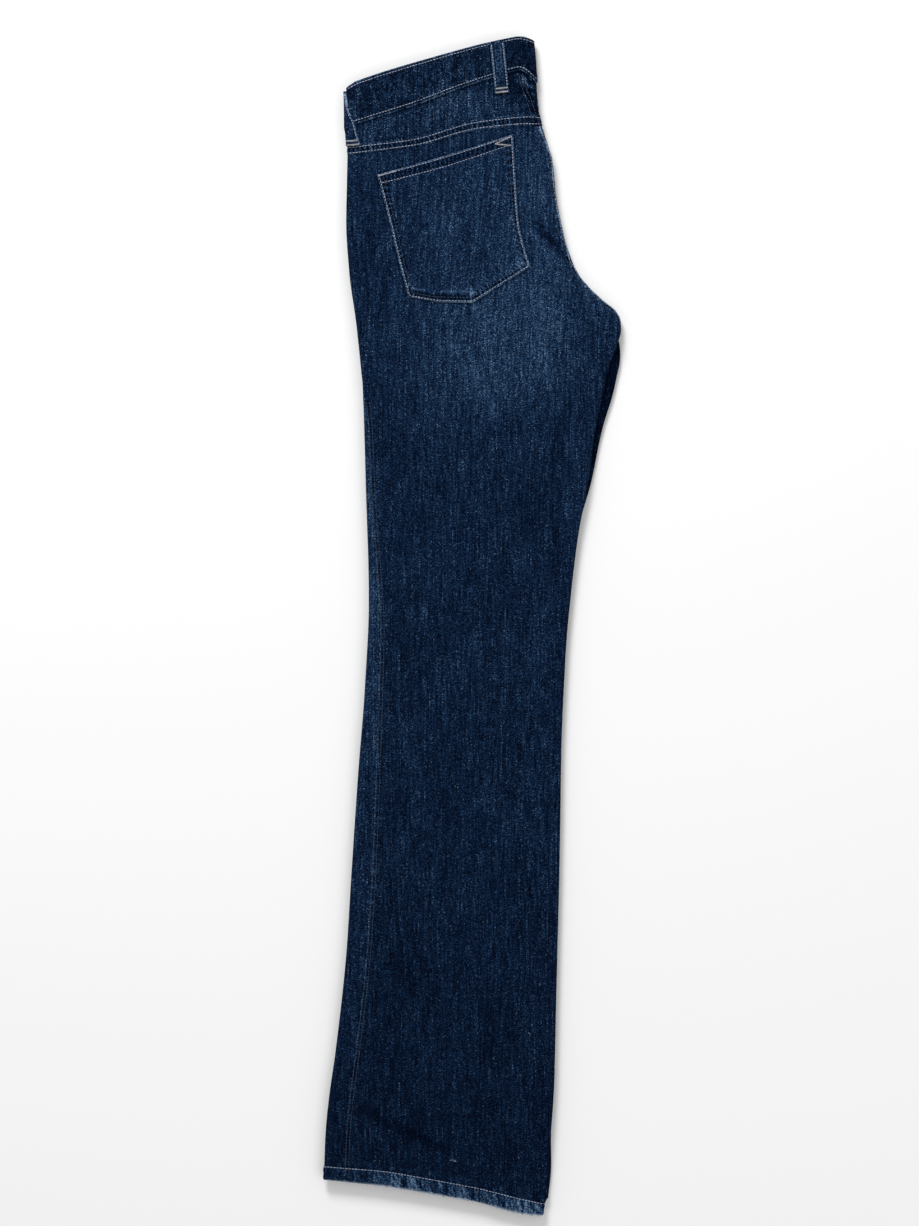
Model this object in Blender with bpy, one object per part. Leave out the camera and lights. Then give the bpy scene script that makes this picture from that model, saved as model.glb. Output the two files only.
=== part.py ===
"""Jeans folded in half along their length and laid flat, left back leg uppermost.

+X runs from the side seam to the inseam, +Y from the hem to the waist and +Z up from
the surface they rest on. The tables hold millimetres and the meshes are in metres.
A place is given by "across" (X) and "along" (Y), both from the middle of the outline.
"""

import math
from collections import namedtuple

import bmesh
import bpy
from mathutils import Vector

MM = 0.001

# Cloth
CLOTH = 1.2
SEAM_GAP = 0.3
LAID_GAP = 0.45
WAISTBAND_EXTRA = 1.2
FELLED_SEAM_EXTRA = 0.8
SIDE_SEAM_EXTRA = 0.5
CENTRE_BACK_EXTRA = 0.7
HEM_EXTRA = 0.9
POCKET_HEM_EXTRA = 0.7
LOOP_CLOTH = 1.9
LOOP_CROWN = 0.35
SEAM_STEP = 1.2

# Folded edges
FOLD_REACH = 1.25
LEG_FOLD_SLACK = 0.1
UNDER_FOLD_SLACK = 0.15
SEAT_FOLD_SLACK = 0.2
TUCK_DEGREES = 50.0
INNER_TUCK_DEGREES = 75.0
GROOVE_DEPTH = 1.2
SEAT_LIP = 0.45
SEAT_LIP_INSET = 4.0
CROTCH_ALONG = 287.0
INSEAM_START = 275.0

# Hidden layers
PLY_SLIT_DEPTH = 4.0
PLY_EDGE_INSET = 0.4
SLIT_FADE_COLUMNS = 4.0
UNDER_WAIST_INSET = 2.5
UNDER_WAIST_FADE = 40.0

# Levels down a cut end, as shares of its height: the ply above or below each slit
PlyLevel = namedtuple("PlyLevel", "share under_leg slit")
PLY_LEVELS = [
    PlyLevel(0.72, 0.0, False),
    PlyLevel(0.67, 1.0, True),
    PlyLevel(0.62, 1.0, False),
    PlyLevel(0.38, 1.0, False),
    PlyLevel(0.33, 1.0, True),
    PlyLevel(0.28, 1.0, False),
]

EdgeRow = namedtuple("EdgeRow", "along across")
LEFT_EDGE = [
    EdgeRow(-537.5, -144.5),
    EdgeRow(-508.0, -143.6),
    EdgeRow(-469.0, -140.7),
    EdgeRow(-411.0, -132.9),
    EdgeRow(-323.5, -123.2),
    EdgeRow(-236.0, -117.4),
    EdgeRow(-149.0, -111.6),
    EdgeRow(-61.5, -104.8),
    EdgeRow(25.5, -100.9),
    EdgeRow(142.0, -103.8),
    EdgeRow(229.5, -106.7),
    EdgeRow(287.5, -111.6),
    EdgeRow(346.0, -119.3),
    EdgeRow(394.5, -122.2),
    EdgeRow(433.0, -121.6),
    EdgeRow(462.0, -121.0),
    EdgeRow(491.5, -121.2),
    EdgeRow(524.0, -121.9),
]
RIGHT_EDGE = [
    EdgeRow(-572.0, 68.0),
    EdgeRow(-537.0, 72.3),
    EdgeRow(-498.0, 75.7),
    EdgeRow(-440.0, 79.5),
    EdgeRow(-352.5, 81.5),
    EdgeRow(-236.0, 84.4),
    EdgeRow(-120.0, 86.3),
    EdgeRow(-32.5, 90.2),
    EdgeRow(25.5, 95.1),
    EdgeRow(84.0, 101.9),
    EdgeRow(142.0, 112.5),
    EdgeRow(190.5, 119.3),
    EdgeRow(229.5, 127.5),
    EdgeRow(250.5, 131.9),
    EdgeRow(264.0, 136.8),
    EdgeRow(276.0, 141.3),
    EdgeRow(287.5, 144.2),
    EdgeRow(297.5, 143.8),
    EdgeRow(307.0, 138.7),
    EdgeRow(316.5, 127.1),
    EdgeRow(331.5, 111.6),
    EdgeRow(346.0, 100.9),
    EdgeRow(365.0, 93.1),
    EdgeRow(394.5, 85.4),
    EdgeRow(423.5, 80.5),
    EdgeRow(452.5, 77.6),
    EdgeRow(472.0, 71.8),
    EdgeRow(491.5, 66.0),
    EdgeRow(514.5, 63.1),
    EdgeRow(543.5, 61.1),
    EdgeRow(566.0, 59.2),
    EdgeRow(571.0, 58.7),
]

# How far the under leg shows past the top leg at the inseam
PeekRow = namedtuple("PeekRow", "along peek")
UNDER_LEG_PEEK = [
    PeekRow(-575.0, 5.5),
    PeekRow(-551.0, 5.3),
    PeekRow(-508.0, 1.5),
    PeekRow(-470.0, -0.6),
    PeekRow(60.0, -0.6),
    PeekRow(103.0, 0.0),
    PeekRow(142.0, 3.4),
    PeekRow(190.5, 6.8),
    PeekRow(229.5, 9.7),
    PeekRow(250.5, 10.0),
    PeekRow(264.0, 6.8),
    PeekRow(276.0, 1.5),
    PeekRow(287.5, -1.0),
]

# How much shorter the under leg is at its hem, on the left and on the right
UNDER_LEFT_INSET = 0.5
UNDER_HEM_LEFT = 5.0
UNDER_HEM_RIGHT = 21.0
UNDER_HEM_FADE = 170.0

ThicknessRow = namedtuple("ThicknessRow", "along thickness")
STACK_THICKNESS = [
    ThicknessRow(-575.0, 10.8),
    ThicknessRow(-500.0, 11.4),
    ThicknessRow(-300.0, 11.0),
    ThicknessRow(0.0, 11.6),
    ThicknessRow(200.0, 12.6),
    ThicknessRow(300.0, 14.0),
    ThicknessRow(400.0, 15.0),
    ThicknessRow(500.0, 15.4),
    ThicknessRow(570.0, 14.6),
]

# Lines across the folded jeans: where each meets the left and right edges, and how far
# it rises above the straight line between them, from the left fold to the right one
LineRow = namedtuple(
    "LineRow", "left_along right_along rise_left rise_third rise_two_thirds rise_right"
)
RISE_LEFT_SHARE = 0.05
RISE_RIGHT_SHARE = 0.9
LINES = [
    LineRow(-537.5, -571.8, 0.6, 3.7, 3.2, -1.2),
    LineRow(-524.3, -560.2, 0.9, 5.4, 4.5, 1.0),
    LineRow(-440.0, -444.0, 0.0, 0.0, 0.0, 0.0),
    LineRow(-380.0, -380.0, 0.0, 0.0, 0.0, 0.0),
    LineRow(346.0, 346.0, 0.0, 0.0, 0.0, 0.0),
    LineRow(375.0, 379.0, 0.0, 0.0, 0.0, 0.0),
    LineRow(457.8, 486.0, -0.2, -1.3, 5.7, 3.5),
    LineRow(466.6, 496.2, -0.3, -2.2, 4.7, 2.9),
    LineRow(486.0, 527.2, 0.6, 4.1, 11.9, 14.4),
    LineRow(523.8, 569.6, 4.2, 7.0, 7.8, 5.9),
]
HEM_EDGE, HEM_STITCH = LINES[0].left_along, LINES[1].left_along
YOKE_SEAM, YOKE_RIDGE = LINES[6].left_along, LINES[7].left_along
WAIST_SEAM, WAIST_TOP = LINES[8].left_along, LINES[9].left_along
SEAT_LEVEL = 354.0
THIGH_LEVEL = 258.0
CALF_LEVEL = -430.0

# Surface distance from the left fold's edge to the side seam, less than 0 underneath
SeamRow = namedtuple("SeamRow", "along reach")
SIDE_SEAM = [
    SeamRow(-537.5, 21.4),
    SeamRow(-420.0, 20.4),
    SeamRow(-264.0, 20.8),
    SeamRow(-158.0, 18.8),
    SeamRow(-71.0, 15.0),
    SeamRow(6.0, 12.4),
    SeamRow(31.5, 10.7),
    SeamRow(76.0, 8.3),
    SeamRow(135.0, 5.8),
    SeamRow(186.5, 5.4),
    SeamRow(224.5, 2.8),
    SeamRow(278.0, -1.6),
    SeamRow(350.0, -2.2),
    SeamRow(486.0, -2.2),
]

# Surface distance from the right fold's edge to the centre back seam
CENTRE_BACK_SEAM = [
    SeamRow(287.5, 1.0),
    SeamRow(353.5, 1.6),
    SeamRow(461.0, 2.6),
    SeamRow(486.0, 5.4),
    SeamRow(497.0, 6.0),
    SeamRow(508.0, 9.6),
    SeamRow(517.5, 13.6),
    SeamRow(527.2, 16.1),
    SeamRow(566.0, 16.1),
]

# Main folds of the top layer: a soft ridge or trough between two places
FoldRow = namedtuple("FoldRow", "from_across from_along to_across to_along half_width rise")
FOLDS = [
    FoldRow(64.0, 386.0, 98.0, 350.0, 9.0, -1.3),
    FoldRow(52.0, 372.0, 84.0, 336.0, 12.0, 0.9),
    FoldRow(88.0, 224.0, 76.0, 22.0, 13.0, -1.2),
    FoldRow(108.0, 262.0, 62.0, 196.0, 16.0, 0.9),
    FoldRow(-84.0, 300.0, -58.0, 120.0, 22.0, 0.8),
    FoldRow(-40.0, -20.0, 30.0, -60.0, 26.0, 0.9),
    FoldRow(44.0, -120.0, -20.0, -160.0, 24.0, -0.8),
    FoldRow(-70.0, -300.0, -80.0, -470.0, 20.0, 0.8),
    FoldRow(30.0, -330.0, 42.0, -500.0, 24.0, -0.7),
]

# Back pocket: its four sides, each from one corner to the next
PocketPoint = namedtuple("PocketPoint", "across along")
POCKET_TOP = [PocketPoint(-92.5, 438.0), PocketPoint(-28.0, 456.0), PocketPoint(39.2, 477.1)]
POCKET_RIGHT = [
    PocketPoint(39.2, 477.1),
    PocketPoint(41.7, 432.0),
    PocketPoint(44.6, 392.5),
    PocketPoint(50.9, 365.0),
    PocketPoint(55.9, 349.0),
]
POCKET_LEFT = [
    PocketPoint(-92.5, 438.0),
    PocketPoint(-80.5, 392.5),
    PocketPoint(-71.8, 355.5),
    PocketPoint(-62.1, 319.6),
]
POCKET_BOTTOM = [
    PocketPoint(-62.1, 319.6),
    PocketPoint(-34.4, 314.8),
    PocketPoint(0.0, 313.8),
    PocketPoint(55.9, 349.0),
]
POCKET_HEM = 9.0
POCKET_COLUMNS = 12
POCKET_ROWS = 11

# Belt loop near the centre back: its middle line and width
LOOP_TOP = (23.4, 567.2)
LOOP_BOTTOM = (28.8, 517.2)
LOOP_WIDTH = 13.6
LOOP_ROWS = 10
LOOP_STEP_START = 0.74
LOOP_STEP_LENGTH = 0.16

# Belt loop at the side: surface distance of its right edge from the left fold's edge
SIDE_LOOP = [SeamRow(468.8, 13.4), SeamRow(477.0, 14.0), SeamRow(508.0, 4.6), SeamRow(523.0, 3.0)]
SIDE_LOOP_TUCK = -2.6
SIDE_LOOP_STEP_LENGTH = 8.0
SIDE_LOOP_ROWS = 8
SIDE_LOOP_COLUMNS = 9
SIDE_LOOP_GAP = 0.6

# How finely the surfaces are divided
LEFT_STRIP_STEPS = 6
MIDDLE_STEPS = 7
RIGHT_STRIP_STEPS = 3
EDGE_STEPS = (2.2, 4.4, 7.0, 10.5, 17.0)

DENIM = (0.013, 0.026, 0.062, 1.0)
FADED_DENIM = (0.018, 0.038, 0.083, 1.0)
DARK_DENIM = (0.008, 0.016, 0.040, 1.0)


class Curve:
    """A smooth line through a short table that never overshoots its rows."""

    def __init__(self, table, value_column, place_column="along"):
        rows = sorted(table, key=lambda row: getattr(row, place_column))
        self.places = [getattr(row, place_column) for row in rows]
        self.values = [getattr(row, value_column) for row in rows]
        steps = [b - a for a, b in zip(self.places, self.places[1:])]
        rates = [(b - a) / s for a, b, s in zip(self.values, self.values[1:], steps)]
        self.slopes = [rates[0]]
        for before, after in zip(rates, rates[1:]):
            turning = before * after <= 0.0
            self.slopes.append(0.0 if turning else 2.0 * before * after / (before + after))
        self.slopes.append(rates[-1])

    def __call__(self, place):
        place = min(max(place, self.places[0]), self.places[-1])
        index = 0
        while index < len(self.places) - 2 and place > self.places[index + 1]:
            index += 1
        width = self.places[index + 1] - self.places[index]
        t = (place - self.places[index]) / width
        start, end = self.values[index], self.values[index + 1]
        start_slope, end_slope = self.slopes[index] * width, self.slopes[index + 1] * width
        return (
            start * (1 + 2 * t) * (1 - t) ** 2
            + start_slope * t * (1 - t) ** 2
            + end * t * t * (3 - 2 * t)
            + end_slope * t * t * (t - 1)
        )


left_across = Curve(LEFT_EDGE, "across")
right_across = Curve(RIGHT_EDGE, "across")
under_peek = Curve(UNDER_LEG_PEEK, "peek")
stack_thickness = Curve(STACK_THICKNESS, "thickness")
side_seam_reach = Curve(SIDE_SEAM, "reach")
centre_back_reach = Curve(CENTRE_BACK_SEAM, "reach")
side_loop_reach = Curve(SIDE_LOOP, "reach")
line_right_along = Curve(LINES, "right_along", "left_along")
line_rise_left = Curve(LINES, "rise_left", "left_along")
line_rise_third = Curve(LINES, "rise_third", "left_along")
line_rise_two_thirds = Curve(LINES, "rise_two_thirds", "left_along")
line_rise_right = Curve(LINES, "rise_right", "left_along")


def ease(value):
    """A soft step from 0 to 1."""
    value = min(max(value, 0.0), 1.0)
    return value * value * (3.0 - 2.0 * value)


def evenly(start, end, steps):
    """Places from start to end, both included."""
    return [start + (end - start) * index / steps for index in range(steps + 1)]


def top_height(across, along):
    """Height of the top layer's outer face above the resting surface."""
    height = stack_thickness(along)
    for fold in FOLDS:
        start = Vector((fold.from_across, fold.from_along))
        run = Vector((fold.to_across, fold.to_along)) - start
        offset = Vector((across, along)) - start
        share = min(max(offset.dot(run) / run.length_squared, 0.0), 1.0)
        distance = (offset - run * share).length
        height += fold.rise * math.exp(-((distance / fold.half_width) ** 2))
    return height


class FoldedEdge:
    """One folded edge of the top leg at one section: a round turn seen end on."""

    def __init__(self, across_curve, along, side, half_height):
        slope = (across_curve(along + 1.0) - across_curve(along - 1.0)) / 2.0
        self.edge = Vector((across_curve(along), along, 0.0))
        self.outward = Vector((side, -side * slope, 0.0)).normalized()
        self.half_height = half_height
        self.reach = half_height * FOLD_REACH
        self.quarter = math.pi / 2.0 * (self.reach + half_height) / 2.0
        self.centre = self.edge - self.outward * self.reach
        self.centre.z = top_height(self.centre.x, self.centre.y) - half_height

    def place(self, distance):
        """Point and outward direction at a surface distance from the very edge."""
        angle = math.pi / 2.0 * distance / self.quarter
        direction = self.outward * math.cos(angle) + Vector((0.0, 0.0, math.sin(angle)))
        offset = self.outward * math.cos(angle) * self.reach
        offset.z = math.sin(angle) * self.half_height
        return self.centre + offset, direction


class Section:
    """One line across the top surface, from under the left fold to under the right one."""

    def __init__(self, left_along):
        self.left_along = left_along
        right_along = line_right_along(left_along)
        self.single_fold = ease((right_along - INSEAM_START) / (CROTCH_ALONG - INSEAM_START))
        thickness = stack_thickness(right_along)
        leg_half_height = thickness / 4.0 - LEG_FOLD_SLACK
        seat_half_height = thickness / 2.0 - SEAT_FOLD_SLACK
        right_half_height = leg_half_height + (seat_half_height - leg_half_height) * self.single_fold
        left_half_height = stack_thickness(left_along) / 4.0 - LEG_FOLD_SLACK
        self.left = FoldedEdge(left_across, left_along, -1.0, left_half_height)
        self.right = FoldedEdge(right_across, right_along, 1.0, right_half_height)
        start, end = self.left.centre.xy, self.right.centre.xy
        self.flat_width = (end - start).length
        self.total = self.left.quarter + self.flat_width + self.right.quarter
        self.above_crotch = right_along > CROTCH_ALONG

    def rise(self, share):
        """How far the line rises above the straight one at a share of its width."""
        places = (0.0, RISE_LEFT_SHARE, 1.0 / 3.0, 2.0 / 3.0, RISE_RIGHT_SHARE, 1.0)
        curves = (line_rise_left, line_rise_third, line_rise_two_thirds, line_rise_right)
        values = (0.0, *(curve(self.left_along) for curve in curves), 0.0)
        rows = [EdgeRow(place, value) for place, value in zip(places, values)]
        return Curve(rows, "across")(share)

    def place(self, distance):
        """Point and outward direction at a surface distance from the left edge."""
        if distance <= self.left.quarter:
            return self.left.place(distance)
        if distance >= self.total - self.right.quarter:
            return self.right.place(self.total - distance)
        share = (distance - self.left.quarter) / self.flat_width
        point = self.left.centre.lerp(self.right.centre, share)
        point.y += self.rise(share)
        point.z = top_height(point.x, point.y)
        return point, Vector((0.0, 0.0, 1.0))

    def columns(self):
        """Surface distances of every column, in order from left to right."""
        tuck = TUCK_DEGREES / 90.0
        inner_tuck = INNER_TUCK_DEGREES / 90.0
        left_end = -tuck * self.left.quarter
        seam = side_seam_reach(self.left_along)
        if self.above_crotch:
            back_end = self.total - centre_back_reach(self.right.edge.y)
            right_end = self.total + tuck * self.right.quarter
        else:
            back_end = self.total + tuck * self.right.quarter
            right_end = self.total + inner_tuck * self.right.quarter
        near_left = [seam + step for step in EDGE_STEPS]
        near_right = [back_end - step for step in reversed(EDGE_STEPS)]
        return (
            evenly(left_end, seam, LEFT_STRIP_STEPS)
            + near_left[:-1]
            + evenly(near_left[-1], near_right[0], MIDDLE_STEPS)
            + near_right[1:]
            + evenly(back_end, right_end, RIGHT_STRIP_STEPS)
        )


SIDE_SEAM_COLUMN = LEFT_STRIP_STEPS
BACK_END_COLUMN = SIDE_SEAM_COLUMN + 2 * len(EDGE_STEPS) + MIDDLE_STEPS
LAST_COLUMN = BACK_END_COLUMN + RIGHT_STRIP_STEPS


def section_places():
    """Left ends of all the sections, from the waist to the hem."""
    places = evenly(WAIST_TOP, WAIST_SEAM, 4)
    places += evenly(WAIST_SEAM, YOKE_RIDGE + SEAM_STEP, 2)[1:]
    places += [YOKE_RIDGE] + evenly(YOKE_SEAM, SEAT_LEVEL, 6)
    places += evenly(SEAT_LEVEL, THIGH_LEVEL, 11)[1:]
    places += evenly(THIGH_LEVEL, CALF_LEVEL, 20)[1:]
    places += evenly(CALF_LEVEL, HEM_STITCH + SEAM_STEP, 3)[1:]
    places += evenly(HEM_STITCH, HEM_EDGE, 2)
    return places


class Cloth:
    """The whole outer surface of the folded jeans as a grid of points and directions."""

    def __init__(self):
        self.sections = [Section(place) for place in section_places()]
        self.grid = [[row.place(column) for column in row.columns()] for row in self.sections]
        self.places = [row.left_along for row in self.sections]

    def row_at(self, left_along):
        """Number of the section that starts at a named line."""
        distances = [abs(place - left_along) for place in self.places]
        return distances.index(min(distances))

    def patch(self, rows, columns, lift):
        """Points of a piece moved out by lift(row, column), trimmed by half a seam gap."""
        first_row, last_row = rows
        first_column, last_column = columns
        points = []
        for row in range(first_row, last_row + 1):
            line = []
            for column in range(first_column, last_column + 1):
                point, direction = self.grid[row][column]
                line.append(point + direction * lift(row, column))
            points.append(line)
        return trim_grid(points, SEAM_GAP / 2.0)


def trim_grid(points, amount):
    """Move the four borders of a grid of points inwards by a small amount."""

    def pulled(edge, inner):
        step = inner - edge
        return edge + step * min(amount / step.length, 0.5)

    rows = [list(line) for line in points]
    rows[0] = [pulled(a, b) for a, b in zip(points[0], points[1])]
    rows[-1] = [pulled(a, b) for a, b in zip(points[-1], points[-2])]
    trimmed = []
    for line in rows:
        middle = line[1:-1]
        trimmed.append([pulled(line[0], line[1])] + middle + [pulled(line[-1], line[-2])])
    return trimmed


def add_grid(mesh, vertices):
    """Fill a grid of mesh vertices with triangles."""
    for upper, lower in zip(vertices, vertices[1:]):
        for a, b, c, d in zip(upper, upper[1:], lower[1:], lower):
            add_face(mesh, (a, b, c))
            add_face(mesh, (a, c, d))


def add_face(mesh, corners):
    """Add one face, leaving out corners that repeat."""
    kept = [corner for i, corner in enumerate(corners) if corner is not corners[i - 1]]
    if len(set(kept)) == len(kept) and len(kept) > 2:
        mesh.faces.new(kept)


def border(grid):
    """The outline of a grid, once round."""
    rows, last = len(grid), len(grid[0]) - 1
    loop = list(grid[0]) + [grid[i][last] for i in range(1, rows)]
    loop += list(reversed(grid[-1][:-1])) + [grid[i][0] for i in range(rows - 2, 0, -1)]
    return loop


def finish_object(name, mesh, colour, roughness=0.85):
    """Turn a bmesh in millimetres into a named object with its own cloth material."""
    bmesh.ops.recalc_face_normals(mesh, faces=mesh.faces)
    if mesh.calc_volume(signed=True) < 0.0:
        bmesh.ops.reverse_faces(mesh, faces=mesh.faces)
    bmesh.ops.scale(mesh, vec=(MM, MM, MM), verts=mesh.verts)
    data = bpy.data.meshes.new(name)
    mesh.to_mesh(data)
    mesh.free()
    data.shade_smooth()
    data.set_sharp_from_angle(angle=math.radians(40.0))
    material = bpy.data.materials.new(name + "_cloth")
    material.use_nodes = True
    shader = material.node_tree.nodes["Principled BSDF"]
    shader.inputs["Base Color"].default_value = colour
    shader.inputs["Roughness"].default_value = roughness
    shader.inputs["Metallic"].default_value = 0.0
    data.materials.append(material)
    item = bpy.data.objects.new(name, data)
    bpy.context.scene.collection.objects.link(item)
    return item


def make_wall(name, outer, inner, colour):
    """One closed wall of cloth between an outer and an inner grid of points."""
    mesh = bmesh.new()
    outer_vertices = [[mesh.verts.new(point) for point in line] for line in outer]
    inner_vertices = [[mesh.verts.new(point) for point in line] for line in inner]
    add_grid(mesh, outer_vertices)
    add_grid(mesh, inner_vertices)
    outer_loop, inner_loop = border(outer_vertices), border(inner_vertices)
    for i, corner in enumerate(outer_loop):
        add_face(mesh, (outer_loop[i - 1], corner, inner_loop[i]))
        add_face(mesh, (outer_loop[i - 1], inner_loop[i], inner_loop[i - 1]))
    return finish_object(name, mesh, colour)


def make_panel(cloth, name, rows, columns, colour, extra=lambda row, column: 0.0, deeper=CLOTH):
    """A panel of the top layer; extra(row, column) raises its outer face only."""
    outer = cloth.patch(rows, columns, extra)
    inner = cloth.patch(rows, columns, lambda row, column: -deeper)
    return make_wall(name, outer, inner, colour)


def under_edge(section, side):
    """Edge, outward direction and half height of the under leg's fold at one section."""
    fold = section.left if side < 0 else section.right
    thickness = stack_thickness(fold.edge.y)
    leg_half_height = thickness / 4.0 - UNDER_FOLD_SLACK
    edge = fold.edge.copy()
    if side < 0:
        return edge + Vector((UNDER_LEFT_INSET, 0.0, 0.0)), fold.outward, leg_half_height
    half_height = leg_half_height + (SEAT_LIP - leg_half_height) * section.single_fold
    peek = under_peek(edge.y)
    peek = peek + (-SEAT_LIP_INSET - peek) * section.single_fold
    return edge + Vector((peek, 0.0, 0.0)), fold.outward, half_height


def under_profile(section, side, end_shift):
    """Groove point and lower fold points of the under leg, from the groove to the floor."""
    fold = section.left if side < 0 else section.right
    edge, outward, half_height = under_edge(section, side)
    edge = edge + Vector((0.0, end_shift, 0.0))
    reach = half_height * FOLD_REACH
    points = []
    for degrees in (TUCK_DEGREES, 0.0, -45.0, -90.0):
        angle = math.radians(degrees)
        point = edge - outward * reach * (1.0 - math.cos(angle))
        point.z = half_height * (1.0 + math.sin(angle))
        points.append(point)
    groove = fold.edge - fold.outward * (fold.reach + GROOVE_DEPTH)
    groove.y += end_shift * 0.5
    tucked = fold.centre.z - fold.half_height * math.sin(math.radians(TUCK_DEGREES))
    groove.z = (tucked + 2.0 * half_height) / 2.0
    return [groove] + points


def under_shift(place, right):
    """How far the under leg's ends sit back from the top leg's, along Y."""
    hem_share = ease(1.0 - (place - HEM_EDGE) / UNDER_HEM_FADE)
    waist_share = ease(1.0 - (WAIST_TOP - place) / UNDER_WAIST_FADE)
    hem = UNDER_HEM_LEFT + (UNDER_HEM_RIGHT - UNDER_HEM_LEFT) * right
    return hem * hem_share - UNDER_WAIST_INSET * waist_share


def make_hidden_layers(cloth):
    """Left front, right front and right back under the top layer, as one layered solid."""
    mesh = bmesh.new()
    depth = CLOTH + SEAM_GAP
    top = [[mesh.verts.new(point - way * depth) for point, way in line] for line in cloth.grid]
    add_grid(mesh, top)
    left, right = [], []
    for section in cloth.sections:
        for side, rows in ((-1, left), (1, right)):
            shift = under_shift(section.left_along, 1.0 if side > 0 else 0.0)
            rows.append([mesh.verts.new(point) for point in under_profile(section, side, shift)])
    add_grid(mesh, [[line[0]] + low for line, low in zip(top, left)])
    add_grid(mesh, [[line[-1]] + low for line, low in zip(top, right)])
    floor_hem = add_ply_ends(mesh, cloth, top, left, right, -1)
    floor_waist = add_ply_ends(mesh, cloth, top, left, right, 0)
    floor_left, floor_right = [low[-1] for low in left[1:-1]], [low[-1] for low in right[1:-1]]
    add_grid(mesh, list(zip(floor_left, floor_right)))
    mesh.faces.new([floor_left[-1], *floor_hem, floor_right[-1]])
    mesh.faces.new([floor_left[0], *floor_waist, floor_right[0]])
    bmesh.ops.triangulate(mesh, faces=[face for face in mesh.faces if len(face.verts) > 3])
    return finish_object("hidden_layers", mesh, DARK_DENIM)


def add_ply_ends(mesh, cloth, top, left, right, end):
    """Close one end with three ply edges and the slits between them; gives its floor line."""
    inward = 1.0 if end == -1 else -1.0
    place = cloth.sections[end].left_along
    upper = top[end]
    low_left, low_right = left[end], right[end]
    count = len(upper)
    folds = len(low_left) - 1
    floor_line = []
    columns = []
    for index, vertex in enumerate(upper):
        if index < folds:
            bottom = low_left[1 + index]
        elif index >= count - folds:
            bottom = low_right[count - index]
        else:
            share = (vertex.co.x - upper[0].co.x) / (upper[-1].co.x - upper[0].co.x)
            across = vertex.co.x
            bottom = mesh.verts.new((across, vertex.co.y + under_shift(place, share), 0.0))
        if folds - 1 <= index <= count - folds:
            floor_line.append(bottom)
        if index in (0, count - 1):
            groove = low_left[0] if index == 0 else low_right[0]
            columns.append([vertex] + [groove] * len(PLY_LEVELS) + [bottom])
            continue
        fade = min(1.0, min(index, count - 1 - index) / SLIT_FADE_COLUMNS)
        high, low = vertex.co, bottom.co
        line = [vertex]
        for level in PLY_LEVELS:
            point = high.lerp(low, level.under_leg)
            point.z = low.z + (high.z - low.z) * level.share
            point.y += inward * (PLY_SLIT_DEPTH * fade if level.slit else PLY_EDGE_INSET)
            line.append(mesh.verts.new(point))
        columns.append(line + [bottom])
    add_grid(mesh, columns)
    return floor_line


def along_side(points, share):
    """Place on a side of the pocket at a share of its length; the bottom keeps its corner."""
    lengths = [0.0]
    for a, b in zip(points, points[1:]):
        lengths.append(lengths[-1] + math.dist(a, b))
    rows = [(length / lengths[-1], point) for length, point in zip(lengths, points)]
    if points is POCKET_BOTTOM:
        pairs = zip(rows, rows[1:])
        (at, start), (to, end) = next(pair for pair in pairs if share <= pair[1][0] + 1e-9)
        return Vector(start).lerp(Vector(end), (share - at) / (to - at))
    across = Curve([EdgeRow(at, point.across) for at, point in rows], "across")(share)
    along = Curve([EdgeRow(at, point.along) for at, point in rows], "across")(share)
    return Vector((across, along))


def pocket_place(u, v):
    """Place on the pocket, u from left to right and v from its top to its bottom edge."""
    top, bottom = along_side(POCKET_TOP, u), along_side(POCKET_BOTTOM, u)
    left, right = along_side(POCKET_LEFT, v), along_side(POCKET_RIGHT, v)
    corners = along_side(POCKET_TOP, 0.0) * (1 - u) * (1 - v) + along_side(POCKET_TOP, 1.0) * u * (1 - v)
    corners += along_side(POCKET_LEFT, 1.0) * (1 - u) * v + along_side(POCKET_RIGHT, 1.0) * u * v
    return top * (1 - v) + bottom * v + left * (1 - u) + right * u - corners


def make_back_pocket():
    """Patch pocket laid on the back panel, thicker where its top edge is turned in."""
    depth = POCKET_RIGHT[0].along - POCKET_RIGHT[-1].along
    hem_share = POCKET_HEM / depth
    rows = [0.0, hem_share, hem_share + 0.01]
    rows += evenly(hem_share + 0.01, 1.0, POCKET_ROWS)[1:]
    outer, inner = [], []
    for v in rows:
        extra = POCKET_HEM_EXTRA if v <= hem_share else 0.0
        outer_line, inner_line = [], []
        for u in evenly(0.0, 1.0, POCKET_COLUMNS):
            place = pocket_place(u, v)
            height = top_height(place.x, place.y) + LAID_GAP
            inner_line.append(Vector((place.x, place.y, height)))
            outer_line.append(Vector((place.x, place.y, height + CLOTH + extra)))
        outer.append(outer_line)
        inner.append(inner_line)
    return make_wall("back_pocket", outer, inner, FADED_DENIM)


def make_back_belt_loop():
    """Belt loop that lies over the waistband and is tacked down onto the yoke."""
    start, end = Vector(LOOP_TOP), Vector(LOOP_BOTTOM)
    run = end - start
    sideways = Vector((-run.y, run.x)).normalized() * LOOP_WIDTH / 2.0
    outer, inner = [], []
    for share in evenly(0.0, 1.0, LOOP_ROWS):
        step_down = ease((share - LOOP_STEP_START) / LOOP_STEP_LENGTH)
        lift = LAID_GAP + WAISTBAND_EXTRA * (1.0 - step_down)
        outer_line, inner_line = [], []
        for side in evenly(-1.0, 1.0, 4):
            place = start + run * share + sideways * side
            height = top_height(place.x, place.y) + lift
            crown = LOOP_CROWN * (1.0 - side * side)
            inner_line.append(Vector((place.x, place.y, height)))
            outer_line.append(Vector((place.x, place.y, height + LOOP_CLOTH + crown)))
        outer.append(outer_line)
        inner.append(inner_line)
    return make_wall("belt_loop_back", outer, inner, DENIM)


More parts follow.
